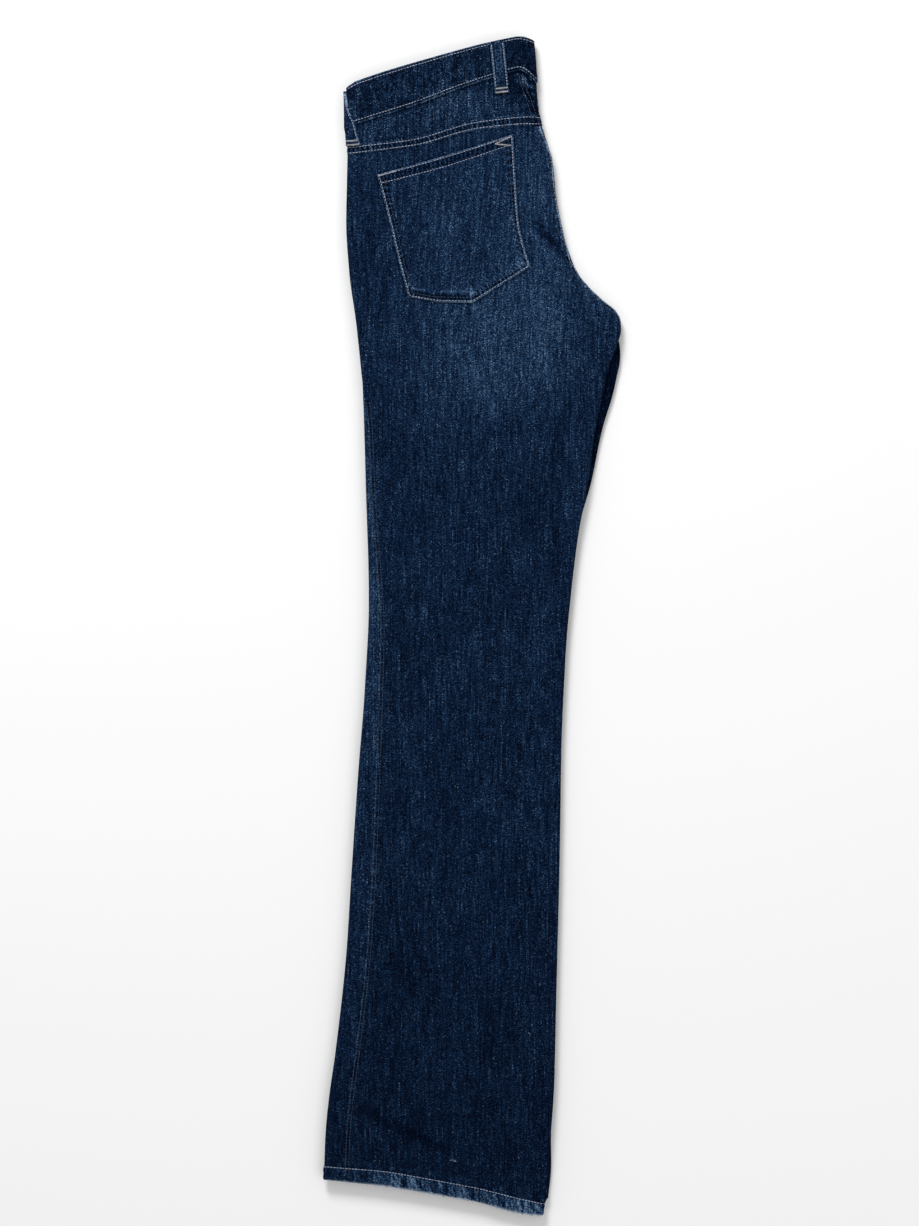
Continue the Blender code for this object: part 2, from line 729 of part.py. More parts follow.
def make_side_belt_loop():
    """Belt loop at the side seam, wrapped round the left fold."""
    outer, inner = [], []
    for place in evenly(SIDE_LOOP[-1].along, SIDE_LOOP[0].along, SIDE_LOOP_ROWS):
        section = Section(place)
        step_down = ease((WAIST_SEAM - SEAM_STEP - place) / SIDE_LOOP_STEP_LENGTH)
        lift = SIDE_LOOP_GAP + WAISTBAND_EXTRA * (1.0 - step_down)
        right = side_loop_reach(place)
        left = max(right - LOOP_WIDTH, SIDE_LOOP_TUCK)
        outer_line, inner_line = [], []
        for distance in evenly(left, right, SIDE_LOOP_COLUMNS):
            point, direction = section.place(distance)
            inner_line.append(point + direction * lift)
            outer_line.append(point + direction * (lift + LOOP_CLOTH))
        outer.append(outer_line)
        inner.append(inner_line)
    return make_wall("belt_loop_side", outer, inner, DENIM)


def clear_scene():
    """Remove whatever the scene holds."""
    for item in list(bpy.data.objects):
        bpy.data.objects.remove(item, do_unlink=True)


def build():
    """Make every cut and sewn piece of the folded jeans."""
    clear_scene()
    cloth = Cloth()
    waist_seam, ridge = cloth.row_at(WAIST_SEAM), cloth.row_at(YOKE_RIDGE)
    yoke_seam, hem_row = cloth.row_at(YOKE_SEAM), cloth.row_at(HEM_STITCH)
    last_row = len(cloth.sections) - 1
    crotch_row = max(i for i, row in enumerate(cloth.sections) if row.above_crotch)

    def felled(row, column):
        return FELLED_SEAM_EXTRA if row >= ridge else 0.0

    def hemmed(row, column):
        return HEM_EXTRA if row >= hem_row else 0.0

    def seamed(row, column):
        by_side_seam = column <= SIDE_SEAM_COLUMN + 1
        by_centre_back = row <= crotch_row and column >= BACK_END_COLUMN - 2
        raised = SIDE_SEAM_EXTRA * by_side_seam + CENTRE_BACK_EXTRA * by_centre_back
        return max(raised, hemmed(row, column))

    make_hidden_layers(cloth)
    make_panel(
        cloth, "waistband", (0, waist_seam), (0, LAST_COLUMN), DENIM,
        extra=lambda row, column: WAISTBAND_EXTRA,
    )
    make_panel(
        cloth, "left_back_yoke", (waist_seam, yoke_seam), (SIDE_SEAM_COLUMN, BACK_END_COLUMN),
        DENIM, extra=felled,
    )
    make_panel(
        cloth, "right_back_yoke", (waist_seam, yoke_seam), (BACK_END_COLUMN, LAST_COLUMN),
        DENIM, extra=felled,
    )
    make_panel(
        cloth, "left_back_panel", (yoke_seam, last_row), (SIDE_SEAM_COLUMN, BACK_END_COLUMN),
        FADED_DENIM, extra=seamed,
    )
    make_panel(
        cloth, "right_back_panel", (yoke_seam, crotch_row), (BACK_END_COLUMN, LAST_COLUMN),
        FADED_DENIM,
    )
    make_panel(
        cloth, "left_front_panel", (waist_seam, last_row), (0, SIDE_SEAM_COLUMN),
        DENIM, extra=hemmed,
    )
    make_back_pocket()
    make_back_belt_loop()
    make_side_belt_loop()


build()
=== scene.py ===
"""Looks of the jeans that lie folded in half: denim shells, seams, stitches and hems.

Tables hold millimetres, in the same frame as the solids: "across" is X from the side
seam to the inseam, "along" is Y from the hem to the waist. Meshes are in metres.
"""

import logging
import math
from dataclasses import dataclass, field
from enum import Enum
from typing import Callable, NamedTuple, Sequence

import bpy
import numpy as np
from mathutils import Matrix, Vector
from mathutils.bvhtree import BVHTree
from mathutils.kdtree import KDTree


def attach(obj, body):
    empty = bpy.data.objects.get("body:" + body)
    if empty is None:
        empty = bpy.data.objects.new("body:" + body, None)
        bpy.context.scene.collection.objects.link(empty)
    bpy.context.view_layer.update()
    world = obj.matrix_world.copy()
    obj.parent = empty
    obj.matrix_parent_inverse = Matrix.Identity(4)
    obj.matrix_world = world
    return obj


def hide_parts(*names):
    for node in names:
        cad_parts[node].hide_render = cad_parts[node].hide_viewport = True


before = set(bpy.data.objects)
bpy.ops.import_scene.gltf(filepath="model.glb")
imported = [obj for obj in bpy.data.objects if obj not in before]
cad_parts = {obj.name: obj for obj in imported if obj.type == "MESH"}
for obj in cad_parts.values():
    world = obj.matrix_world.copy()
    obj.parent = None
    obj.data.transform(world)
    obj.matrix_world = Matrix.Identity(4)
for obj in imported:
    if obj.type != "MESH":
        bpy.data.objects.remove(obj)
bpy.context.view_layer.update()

MM = 0.001
UP = np.array([0.0, 0.0, 1.0])
Array, Number = np.ndarray, float | np.ndarray
Piece, Socket = bpy.types.Object, bpy.types.NodeSocket
log = logging.getLogger("jeans")


class Row(NamedTuple):
    """A value at a place along the jeans, both in millimetres."""

    along: float
    value: float


class Line(NamedTuple):
    """A line across the jeans: its ends and how far it rises above the straight one."""

    left_along: float
    right_along: float
    rise_left: float
    rise_third: float
    rise_two_thirds: float
    rise_right: float


class Crease(NamedTuple):
    """A soft ridge (rise above 0) or trough between two places on the top layer."""

    from_across: float
    from_along: float
    to_across: float
    to_along: float
    half_width: float
    rise: float


class Patch(NamedTuple):
    """A soft oval painted lighter or darker: the light ones are worn dye, the dark ones darker tone,
    one of them painted shade down a trough.
    """

    across: float
    along: float
    half_across: float
    half_along: float
    amount: float


class Span(NamedTuple):
    """A short straight run between two places."""

    from_across: float
    from_along: float
    to_across: float
    to_along: float


class Ply(NamedTuple):
    """A level down a cut end: share of its height, share of the under leg's set-back, depth in."""

    height_share: float
    under_share: float
    depth: float


class Stretch(NamedTuple):
    """A stretch of the hem by shares of its width, and the share of it that is frayed."""

    start: float
    stop: float
    density: float


class Tint(NamedTuple):
    """A colour at a place on a ramp."""

    place: float
    colour: tuple[float, float, float]


LEFT_EDGE = (
    Row(-537.5, -144.5), Row(-508.0, -143.6), Row(-469.0, -140.7), Row(-411.0, -132.9),
    Row(-323.5, -123.2), Row(-236.0, -117.4), Row(-149.0, -111.6), Row(-61.5, -104.8),
    Row(25.5, -100.9), Row(142.0, -103.8), Row(229.5, -106.7), Row(287.5, -111.6),
    Row(346.0, -119.3), Row(394.5, -122.2), Row(433.0, -121.6), Row(462.0, -121.0),
    Row(491.5, -121.2), Row(524.0, -121.9),
)
RIGHT_EDGE = (
    Row(-572.0, 68.0), Row(-537.0, 72.3), Row(-498.0, 75.7), Row(-440.0, 79.5),
    Row(-352.5, 81.5), Row(-236.0, 84.4), Row(-120.0, 86.3), Row(-32.5, 90.2),
    Row(25.5, 95.1), Row(84.0, 101.9), Row(142.0, 112.5), Row(190.5, 119.3),
    Row(229.5, 127.5), Row(250.5, 131.9), Row(264.0, 136.8), Row(276.0, 141.3),
    Row(287.5, 144.2), Row(297.5, 143.8), Row(307.0, 138.7), Row(316.5, 127.1),
    Row(331.5, 111.6), Row(346.0, 100.9), Row(365.0, 93.1), Row(394.5, 85.4),
    Row(423.5, 80.5), Row(452.5, 77.6), Row(472.0, 71.8), Row(491.5, 66.0),
    Row(514.5, 63.1), Row(543.5, 61.1), Row(566.0, 59.2), Row(571.0, 58.7),
)
UNDER_LEG_PEEK = (
    Row(-575.0, 5.5), Row(-551.0, 5.3), Row(-508.0, 1.5), Row(-470.0, -0.6), Row(60.0, -0.6),
    Row(103.0, 0.0), Row(142.0, 3.4), Row(190.5, 6.8), Row(229.5, 9.7), Row(250.5, 10.0),
    Row(264.0, 6.8), Row(276.0, 1.5), Row(287.5, -1.0),
)
STACK_THICKNESS = (
    Row(-575.0, 10.8), Row(-500.0, 11.4), Row(-300.0, 11.0), Row(0.0, 11.6), Row(200.0, 12.6),
    Row(300.0, 14.0), Row(400.0, 15.0), Row(500.0, 15.4), Row(570.0, 14.6),
)
LINES = (
    Line(-537.5, -571.8, 0.6, 3.7, 3.2, -1.2),
    Line(-524.3, -560.2, 0.9, 5.4, 4.5, 1.0),
    Line(-440.0, -444.0, 0.0, 0.0, 0.0, 0.0),
    Line(-380.0, -380.0, 0.0, 0.0, 0.0, 0.0),
    Line(346.0, 346.0, 0.0, 0.0, 0.0, 0.0),
    Line(375.0, 379.0, 0.0, 0.0, 0.0, 0.0),
    Line(457.8, 486.0, -0.2, -1.3, 5.7, 3.5),
    Line(466.6, 496.2, -0.3, -2.2, 4.7, 2.9),
    Line(486.0, 527.2, 0.6, 4.1, 11.9, 14.4),
    Line(523.8, 569.6, 4.2, 7.0, 7.8, 5.9),
)
SIDE_SEAM = (
    Row(-537.5, 21.4), Row(-420.0, 20.4), Row(-264.0, 20.8), Row(-158.0, 18.8),
    Row(-71.0, 15.0), Row(6.0, 12.4), Row(31.5, 10.7), Row(76.0, 8.3), Row(135.0, 5.8),
    Row(186.5, 5.4), Row(224.5, 2.8), Row(278.0, -1.6), Row(350.0, -2.2), Row(486.0, -2.2),
)
CENTRE_BACK_SEAM = (
    Row(287.5, 1.0), Row(353.5, 1.6), Row(461.0, 2.6), Row(486.0, 5.4), Row(497.0, 6.0),
    Row(508.0, 9.6), Row(517.5, 13.6), Row(527.2, 16.1), Row(566.0, 16.1),
)
SIDE_LOOP = (
    Row(465.8, 14.0), Row(479.0, 10.2), Row(487.0, 8.0), Row(499.0, 4.6), Row(519.0, 2.0),
)

# The folds that the solids have too
FOLDS = (
    Crease(64.0, 386.0, 98.0, 350.0, 9.0, -1.3),
    Crease(52.0, 372.0, 84.0, 336.0, 12.0, 0.9),
    Crease(88.0, 224.0, 76.0, 22.0, 13.0, -1.2),
    Crease(108.0, 262.0, 62.0, 196.0, 16.0, 0.9),
    Crease(-84.0, 300.0, -58.0, 120.0, 22.0, 0.8),
    Crease(-40.0, -20.0, 30.0, -60.0, 26.0, 0.9),
    Crease(44.0, -120.0, -20.0, -160.0, 24.0, -0.8),
    Crease(-70.0, -300.0, -80.0, -470.0, 20.0, 0.8),
    Crease(30.0, -330.0, 42.0, -500.0, 24.0, -0.7),
)
# Finer creases of the top layer
CREASES = (
    Crease(62.0, 389.0, 95.0, 355.0, 3.6, -1.7),
    Crease(57.0, 380.0, 86.0, 349.0, 4.5, 0.9),
    Crease(70.0, 402.0, 84.0, 380.0, 2.6, -0.5),
    Crease(96.0, 336.0, 124.0, 306.0, 3.2, 0.5),
    Crease(84.0, 318.0, 112.0, 292.0, 5.0, -0.5),
    Crease(120.0, 286.0, 84.0, 262.0, 4.5, -0.5),
    Crease(112.0, 262.0, 70.0, 236.0, 5.5, 0.45),
    Crease(102.0, 228.0, 78.0, 176.0, 4.0, -0.45),
    Crease(87.0, 222.0, 80.0, 70.0, 5.0, -0.45),
    Crease(76.0, 150.0, 70.0, 10.0, 6.0, 0.35),
    Crease(-64.0, 300.0, -20.0, 286.0, 6.0, -0.35),
    Crease(-96.0, 430.0, -100.0, 300.0, 5.0, -0.35),
    Crease(-60.0, 120.0, 30.0, 96.0, 8.0, 0.3),
    Crease(-80.0, 30.0, -10.0, 12.0, 7.0, -0.3),
    Crease(20.0, -10.0, 78.0, -34.0, 6.5, 0.35),
    Crease(-90.0, -92.0, -30.0, -108.0, 7.0, 0.3),
    Crease(10.0, -150.0, 70.0, -176.0, 6.0, -0.3),
    Crease(-70.0, -240.0, 0.0, -262.0, 8.0, 0.25),
    Crease(-104.0, -360.0, -60.0, -380.0, 6.0, -0.3),
    Crease(40.0, -420.0, 46.0, -520.0, 6.0, 0.35),
    Crease(-30.0, -450.0, -24.0, -530.0, 7.0, -0.3),
    Crease(-108.0, -470.0, -28.0, -508.0, 5.5, -1.3),
    Crease(-62.0, -504.0, -4.0, -524.0, 3.0, 0.5),
    Crease(-90.0, -318.0, -60.0, -350.0, 16.0, -0.5),
)

# Wear of the turned hem, by place across the jeans
HEM_WEAR = (
    Row(-146.0, 0.06), Row(-122.0, 0.05), Row(-104.0, 0.14), Row(-84.0, 0.27), Row(-30.0, 0.24),
    Row(0.0, 0.25), Row(8.0, 0.14), Row(18.0, 0.27), Row(70.0, 0.32),
)
# Extra wear of the strip between the side seam and the left fold
PALE_STRIP = (
    Row(-560.0, 0.02), Row(-200.0, 0.05), Row(-90.0, 0.09), Row(40.0, 0.13), Row(200.0, 0.12),
    Row(260.0, 0.06), Row(486.0, 0.05),
)
# How light the denim is, from 0 for unworn indigo to 1 for bare weft
TONE_ALONG = (
    Row(-560.0, 0.245), Row(-470.0, 0.255), Row(-330.0, 0.285), Row(-150.0, 0.320),
    Row(0.0, 0.325), Row(140.0, 0.340), Row(200.0, 0.350), Row(300.0, 0.370), Row(400.0, 0.370),
    Row(470.0, 0.375), Row(566.0, 0.385),
)
# Ovals of lighter and darker tone on the top layer; the narrow dark one down the trough on the thigh
# near the inseam is painted shade
FADES_AND_PAINTED_SHADE = (
    Patch(18.0, 266.0, 80.0, 64.0, 0.145),
    Patch(46.0, 332.0, 50.0, 46.0, 0.060),
    Patch(-18.0, 392.0, 48.0, 48.0, 0.060),
    Patch(66.0, 420.0, 22.0, 76.0, 0.110),
    Patch(108.0, 300.0, 30.0, 34.0, 0.060),
    Patch(96.0, 190.0, 34.0, 110.0, 0.030),
    Patch(-96.0, 330.0, 22.0, 110.0, -0.015),
    Patch(-84.0, 190.0, 34.0, 90.0, -0.030),
    Patch(0.0, 500.0, 70.0, 26.0, 0.030),
    Patch(46.0, 519.0, 20.0, 20.0, -0.180),
    Patch(48.0, 550.0, 18.0, 24.0, -0.110),
    # Painted shade down the soft trough on the thigh near the inseam
    Patch(78.0, 120.0, 9.0, 120.0, -0.045),
)

# Scuffs low on the pocket: places from its left side and up from its bottom
POCKET_SCUFFS = (
    Patch(5.5, 19.0, 2.2, 9.0, 0.40),
    Patch(119.0, 48.0, 1.4, 12.0, 0.34),
    Patch(118.0, 10.0, 4.0, 6.0, 0.32),
)
# Bars of close stitching at both top corners of the pocket
POCKET_TACKS = (
    Span(-91.5, 436.6, -73.5, 441.6),
    Span(21.5, 467.6, 38.2, 474.8),
    Span(21.5, 467.6, 37.6, 466.4),
)
# Stray fibres that lie on the cloth
LINT = (
    Span(-22.3, -518.2, -18.6, -517.4), Span(-19.4, -519.0, -16.0, -518.6),
    Span(-18.0, -517.4, -15.8, -520.2), Span(54.0, -394.0, 56.6, -396.4),
)
# How thickly the worn hem frays, from left to right
FRAYED = (
    Stretch(0.02, 0.16, 0.35), Stretch(0.16, 0.22, 0.5), Stretch(0.22, 0.66, 0.85),
    Stretch(0.66, 0.76, 0.5), Stretch(0.76, 0.99, 0.9),
)
# Three plies with slits between them, from the upper face down
PLY_LEVELS = (
    Ply(0.93, 0.0, 0.2), Ply(0.82, 0.0, 0.0), Ply(0.72, 0.0, 0.3), Ply(0.68, 0.4, 4.5),
    Ply(0.65, 1.0, 4.5), Ply(0.61, 1.0, 0.5), Ply(0.50, 1.0, 0.0), Ply(0.39, 1.0, 0.5),
    Ply(0.34, 1.0, 4.5), Ply(0.30, 1.0, 4.5), Ply(0.26, 1.0, 0.5), Ply(0.14, 1.0, 0.0),
    Ply(0.03, 1.0, 0.4),
)
# Indigo from unworn warp to bare weft
INDIGO = (
    Tint(0.00, (0.0004, 0.0016, 0.0060)),
    Tint(0.20, (0.0013, 0.0046, 0.0165)),
    Tint(0.35, (0.0031, 0.0106, 0.0335)),
    Tint(0.50, (0.0070, 0.0230, 0.0640)),
    Tint(0.65, (0.0158, 0.0500, 0.1190)),
    Tint(0.80, (0.0460, 0.1080, 0.2140)),
    Tint(1.00, (0.210, 0.315, 0.440)),
)

# Weave: spacing of warp and weft, slant and width of the twill's ribs, shifts between pieces
WARP_PITCH, PICK_PITCH, RIB_SLANT, RIB_PITCH = 0.62, 0.8, 0.62, 0.72
POCKET_WEAVE, LOOP_WEAVE, UNDER_WEAVE = 400.0, 700.0, 900.0
# Thickness of the cloth, gaps between pieces, and how far extra plies stand up
CLOTH, LOOP_CLOTH, SEAM_GAP, LAID_GAP = 1.2, 1.9, 0.3, 0.45
WAISTBAND_EXTRA, FELLED_SEAM_EXTRA, SIDE_SEAM_EXTRA = 1.2, 0.8, 0.5
HEM_EXTRA, POCKET_HEM_EXTRA = 0.9, 0.7
# Folded edges: width of the turn over half its height, and how far the cloth tucks under
FOLD_REACH, TUCK_DEGREES, INNER_TUCK_DEGREES = 1.25, 50.0, 75.0
LINE_PLACES = 90
# Where the pieces meet, by their left ends
HEM_EDGE, HEM_STITCH = LINES[0].left_along, LINES[1].left_along
HEM_WIDTH = RIGHT_EDGE[0].value - LEFT_EDGE[0].value
YOKE_SEAM, YOKE_RIDGE = LINES[6].left_along, LINES[7].left_along
WAIST_SEAM, WAIST_TOP = LINES[8].left_along, LINES[9].left_along
WAIST_PEAK = 566.0
CROTCH_ALONG, INSEAM_START = 287.0, 275.0
SIDE_STITCH_TOP, SIDE_STITCH_OFFSETS = 218.0, (1.3, 4.3)
CENTRE_STITCH_FOOT, CENTRE_STITCH_OFFSET = 298.0, 6.4


class Curve:
    """A smooth line through a short table that never overshoots its rows."""

    def __init__(self, rows: Sequence[tuple[float, float]]) -> None:
        """Args:
            rows: places and values, in any order.
        """
        ordered = sorted((row[0], row[1]) for row in rows)
        self.places = np.array([row[0] for row in ordered])
        self.values = np.array([row[1] for row in ordered])
        rates = np.diff(self.values) / np.diff(self.places)
        before, after = rates[:-1], rates[1:]
        turning = before * after <= 0.0
        total = np.where(turning, 1.0, before + after)
        inner = np.where(turning, 0.0, 2.0 * before * after / total)
        self.slopes = np.concatenate([rates[:1], inner, rates[-1:]])

    def __call__(self, at: Number) -> Number:
        """Value at one place or at many, held level past both ends."""
        at = np.clip(at, self.places[0], self.places[-1])
        index = np.clip(np.searchsorted(self.places, at) - 1, 0, len(self.places) - 2)
        width = self.places[index + 1] - self.places[index]
        t = (at - self.places[index]) / width
        low, high = self.values[index], self.values[index + 1]
        return (
            low * (1 + 2 * t) * (1 - t) ** 2
            + self.slopes[index] * width * t * (1 - t) ** 2
            + high * t * t * (3 - 2 * t)
            + self.slopes[index + 1] * width * t * t * (t - 1)
        )


def held(value: Number) -> Number:
    """A value held between 0 and 1."""
    return np.clip(value, 0.0, 1.0)


def bell(value: Number, power: float = 2) -> Number:
    """A soft hump, 1 at 0 and near 0 past 1 on both sides; a higher power makes it squarer."""
    return np.exp(-(value**power))


def ease(value: Number) -> Number:
    """A soft step from 0 to 1."""
    value = held(value)
    return value * value * (3.0 - 2.0 * value)


class SoftNoise:
    """Smooth random unevenness on a stretched square lattice, the same in each run."""

    def __init__(self, seed: int, cell_across: float, cell_along: float) -> None:
        """Args:
            seed: which unevenness.
            cell_across: size of a bump across, in millimetres.
            cell_along: size of a bump along, in millimetres.
        """
        self.values = np.random.default_rng(seed).uniform(-1.0, 1.0, (256, 256))
        self.cell = (cell_across, cell_along)

    def __call__(self, across: Array, along: Array) -> Array:
        """Values from -1 to 1 at many places."""
        u, v = np.asarray(across) / self.cell[0], np.asarray(along) / self.cell[1]
        column, row = np.floor(u).astype(int), np.floor(v).astype(int)
        s, t = ease(u - column), ease(v - row)
        pick = self.values
        near = pick[row % 256, column % 256] * (1 - s) + pick[row % 256, (column + 1) % 256] * s
        far_row = (row + 1) % 256
        far = pick[far_row, column % 256] * (1 - s) + pick[far_row, (column + 1) % 256] * s
        return near * (1 - t) + far * t


def rungs(along_seam: Array, pitch: float, seed: int) -> Array:
    """Evenly spaced but uneven puckers along a seam, from -1 to 1.

    Args:
        along_seam: distances along the seam, in millimetres.
        pitch: usual distance between two puckers.
        seed: which unevenness.
    """
    level = np.zeros_like(along_seam)
    wander = SoftNoise(seed, pitch * 3.0, 1.0)(along_seam, level)
    strength = 0.72 + 0.28 * SoftNoise(seed + 1, pitch * 1.3, 1.0)(along_seam, level)
    return np.sin(2.0 * math.pi * (along_seam / pitch + 0.45 * wander)) * strength


def spread(start: float, end: float, count: int) -> Array:
    """Places from start to end, closer together by both ends."""
    length = abs(end - start)
    close = np.array([0.0, 0.35, 0.8, 1.4, 2.2])
    if length < 14.0 or count < 24:
        return np.linspace(start, end, count)
    middle = np.linspace(3.1, length - 3.1, count - 2 * len(close))
    places = np.concatenate([close, middle, (length - close)[::-1]])
    return start + places * math.copysign(1.0, end - start)


def crease_height(creases: Sequence[Crease], across: Array, along: Array) -> Array:
    """Summed height of soft ridges and troughs at many places, in millimetres."""
    height = np.zeros_like(np.asarray(across, dtype=float))
    for crease in creases:
        run_across = crease.to_across - crease.from_across
        run_along = crease.to_along - crease.from_along
        off_across, off_along = across - crease.from_across, along - crease.from_along
        length = run_across**2 + run_along**2
        share = held((off_across * run_across + off_along * run_along) / length)
        gap = np.hypot(off_across - share * run_across, off_along - share * run_along)
        height = height + crease.rise * bell(gap / crease.half_width)
    return height


@dataclass(frozen=True)
class JeansForm:
    """The shape of the folded jeans, from the same tables as the solids."""

    left_across: Curve = Curve(LEFT_EDGE)
    right_across: Curve = Curve(RIGHT_EDGE)
    under_peek: Curve = Curve(UNDER_LEG_PEEK)
    thickness: Curve = Curve(STACK_THICKNESS)
    side_seam: Curve = Curve(SIDE_SEAM)
    centre_back: Curve = Curve(CENTRE_BACK_SEAM)
    side_loop: Curve = Curve(SIDE_LOOP)
    right_along: Curve = Curve([(row[0], row.right_along) for row in LINES])
    rise_left: Curve = Curve([(row[0], row.rise_left) for row in LINES])
    rise_third: Curve = Curve([(row[0], row.rise_third) for row in LINES])
    rise_two_thirds: Curve = Curve([(row[0], row.rise_two_thirds) for row in LINES])
    rise_right: Curve = Curve([(row[0], row.rise_right) for row in LINES])

    def top_height(self, across: Array, along: Array) -> Array:
        """Height of the top layer's outer face, in millimetres."""
        return self.thickness(along) + crease_height(FOLDS, across, along)


FORM = JeansForm()


class FoldedEdge:
    """One folded edge of the top leg at one section: a round turn seen end on."""

    def __init__(self, edge_curve: Curve, along: float, side: float, half_height: float) -> None:
        """Args:
            edge_curve: where the edge lies across.
            along: where the section is.
            side: -1 on the left and 1 on the right.
            half_height: half the height of the turn.
        """
        slope = (edge_curve(along + 1.0) - edge_curve(along - 1.0)) / 2.0
        outward = np.array([side, -side * slope, 0.0])
        self.outward = outward / np.linalg.norm(outward)
        self.edge = np.array([edge_curve(along), along, 0.0])
        self.half_height = half_height
        self.reach = half_height * FOLD_REACH
        self.quarter = math.pi / 2.0 * (self.reach + half_height) / 2.0
        self.centre = self.edge - self.outward * self.reach
        self.centre[2] = FORM.top_height(self.centre[0], self.centre[1]) - half_height

    def place(self, distances: Array) -> tuple[Array, Array]:
        """Points and outward directions at surface distances from the very edge."""
        angle = math.pi / 2.0 * distances / self.quarter
        flat, high = np.cos(angle)[:, None], np.sin(angle)[:, None]
        ways = self.outward * flat + UP * high
        return self.centre + self.outward * flat * self.reach + UP * high * self.half_height, ways


class Section:
    """One line across the top surface, from under the left fold to under the right one."""

    def __init__(self, left_along: float) -> None:
        """Args:
            left_along: where the line meets the left edge.
        """
        self.left_along = left_along
        right_along = float(FORM.right_along(left_along))
        self.single_fold = ease((right_along - INSEAM_START) / (CROTCH_ALONG - INSEAM_START))
        thickness = FORM.thickness(right_along)
        leg, seat = thickness / 4.0 - 0.1, thickness / 2.0 - 0.2
        right_half = leg + (seat - leg) * self.single_fold
        left_half = FORM.thickness(left_along) / 4.0 - 0.1
        self.left = FoldedEdge(FORM.left_across, left_along, -1.0, left_half)
        self.right = FoldedEdge(FORM.right_across, right_along, 1.0, right_half)
        self.flat_width = float(np.linalg.norm((self.right.centre - self.left.centre)[:2]))
        self.total = self.left.quarter + self.flat_width + self.right.quarter
        self.above_crotch = right_along > CROTCH_ALONG
        at = left_along
        left, right = (0.05, FORM.rise_left(at)), (0.9, FORM.rise_right(at))
        middle = [(1 / 3, FORM.rise_third(at)), (2 / 3, FORM.rise_two_thirds(at))]
        self.rise = Curve([(0.0, 0.0), left, *middle, right, (1.0, 0.0)])

    def place(self, distances: Array) -> tuple[Array, Array]:
        """Points and outward directions at surface distances from the left edge."""
        distances = np.asarray(distances, dtype=float)
        share = held((distances - self.left.quarter) / self.flat_width)
        points = self.left.centre + (self.right.centre - self.left.centre) * share[:, None]
        points[:, 2] = FORM.top_height(points[:, 0], points[:, 1])
        ways = np.tile(UP, (len(distances), 1))
        for chosen, fold, gap in (
            (distances <= self.left.quarter, self.left, distances),
            (distances >= self.total - self.right.quarter, self.right, self.total - distances),
        ):
            points[chosen], ways[chosen] = fold.place(gap[chosen])
        width = self.right.edge[0] - self.left.edge[0]
        points[:, 1] += self.rise((points[:, 0] - self.left.edge[0]) / width)
        return points, ways

    @property
    def left_end(self) -> float:
        """Surface distance where the top leg's cloth tucks under at the left."""
        return -TUCK_DEGREES / 90.0 * self.left.quarter

    @property
    def right_end(self) -> float:
        """Surface distance where the top leg's cloth tucks under at the right."""
        return self.total + TUCK_DEGREES / 90.0 * self.right.quarter

    @property
    def seam(self) -> float:
        """Surface distance of the side seam."""
        return float(FORM.side_seam(self.left_along))

    @property
    def centre_back(self) -> float:
        """Surface distance of the centre back seam, or of the inseam below the crotch."""
        on_top = self.total - float(FORM.centre_back(self.right.edge[1]))
        share = ease((self.right.edge[1] - CROTCH_ALONG) / 7.0)
        return float(self.right_end + (on_top - self.right_end) * share)


Distance = Callable[[Section], float]


@dataclass
class SurfaceGrid:
    """A grid of places on the cloth, with everything that its mesh needs."""

    points: Array
    ways: Array
    cloth: Array
    places: Array
    lift: Array = field(init=False)
    wear: Array = field(init=False)
    shade: Array = field(init=False)

    def __post_init__(self) -> None:
        """Start with no lift, no wear and no shade."""
        shape = self.points.shape[:2]
        self.lift, self.wear, self.shade = np.zeros(shape), np.zeros(shape), np.zeros(shape)

    @property
    def across(self) -> Array:
        """X of each place."""
        return self.points[..., 0]

    @property
    def along(self) -> Array:
        """Y of each place."""
        return self.points[..., 1]

    def noise(self, seed: int, cell_across: float, cell_along: float) -> Array:
        """Soft unevenness over the grid; an endless cell leaves that direction level."""
        return SoftNoise(seed, cell_across, cell_along)(self.across, self.along)


def surface_grid(
    top: float,
    bottom: float,
    left: Distance,
    right: Distance,
    step_along: float,
    columns: int,
) -> SurfaceGrid:
    """A grid of places on the outer surface.

    Args:
        top, bottom: the lines where the piece starts and ends, by their left ends.
        left, right: surface distance of its sides on a section.
        step_along: distance between rows, in millimetres.
        columns: number of places on each row.

    Returns:
        The grid, in from its seams by half the gap between two pieces.
    """
    rows = max(4, round(abs(top - bottom) / step_along))
    half_gap = SEAM_GAP / 2.0
    places = spread(top - half_gap, bottom + half_gap, rows + 1)
    points, ways, cloth = [], [], []
    for place in places:
        section = Section(float(place))
        start, end = left(section) + half_gap, right(section) - half_gap
        distances = spread(start, end, columns)
        row_points, row_ways = section.place(distances)
        points.append(row_points)
        ways.append(row_ways)
        across = distances - section.total / 2.0 + (section.left.edge[0] + section.right.edge[0]) / 2.0
        cloth.append(np.stack([across, row_points[:, 1], np.zeros(columns)], axis=1))
    return SurfaceGrid(np.array(points), np.array(ways), np.array(cloth), places[:, None])


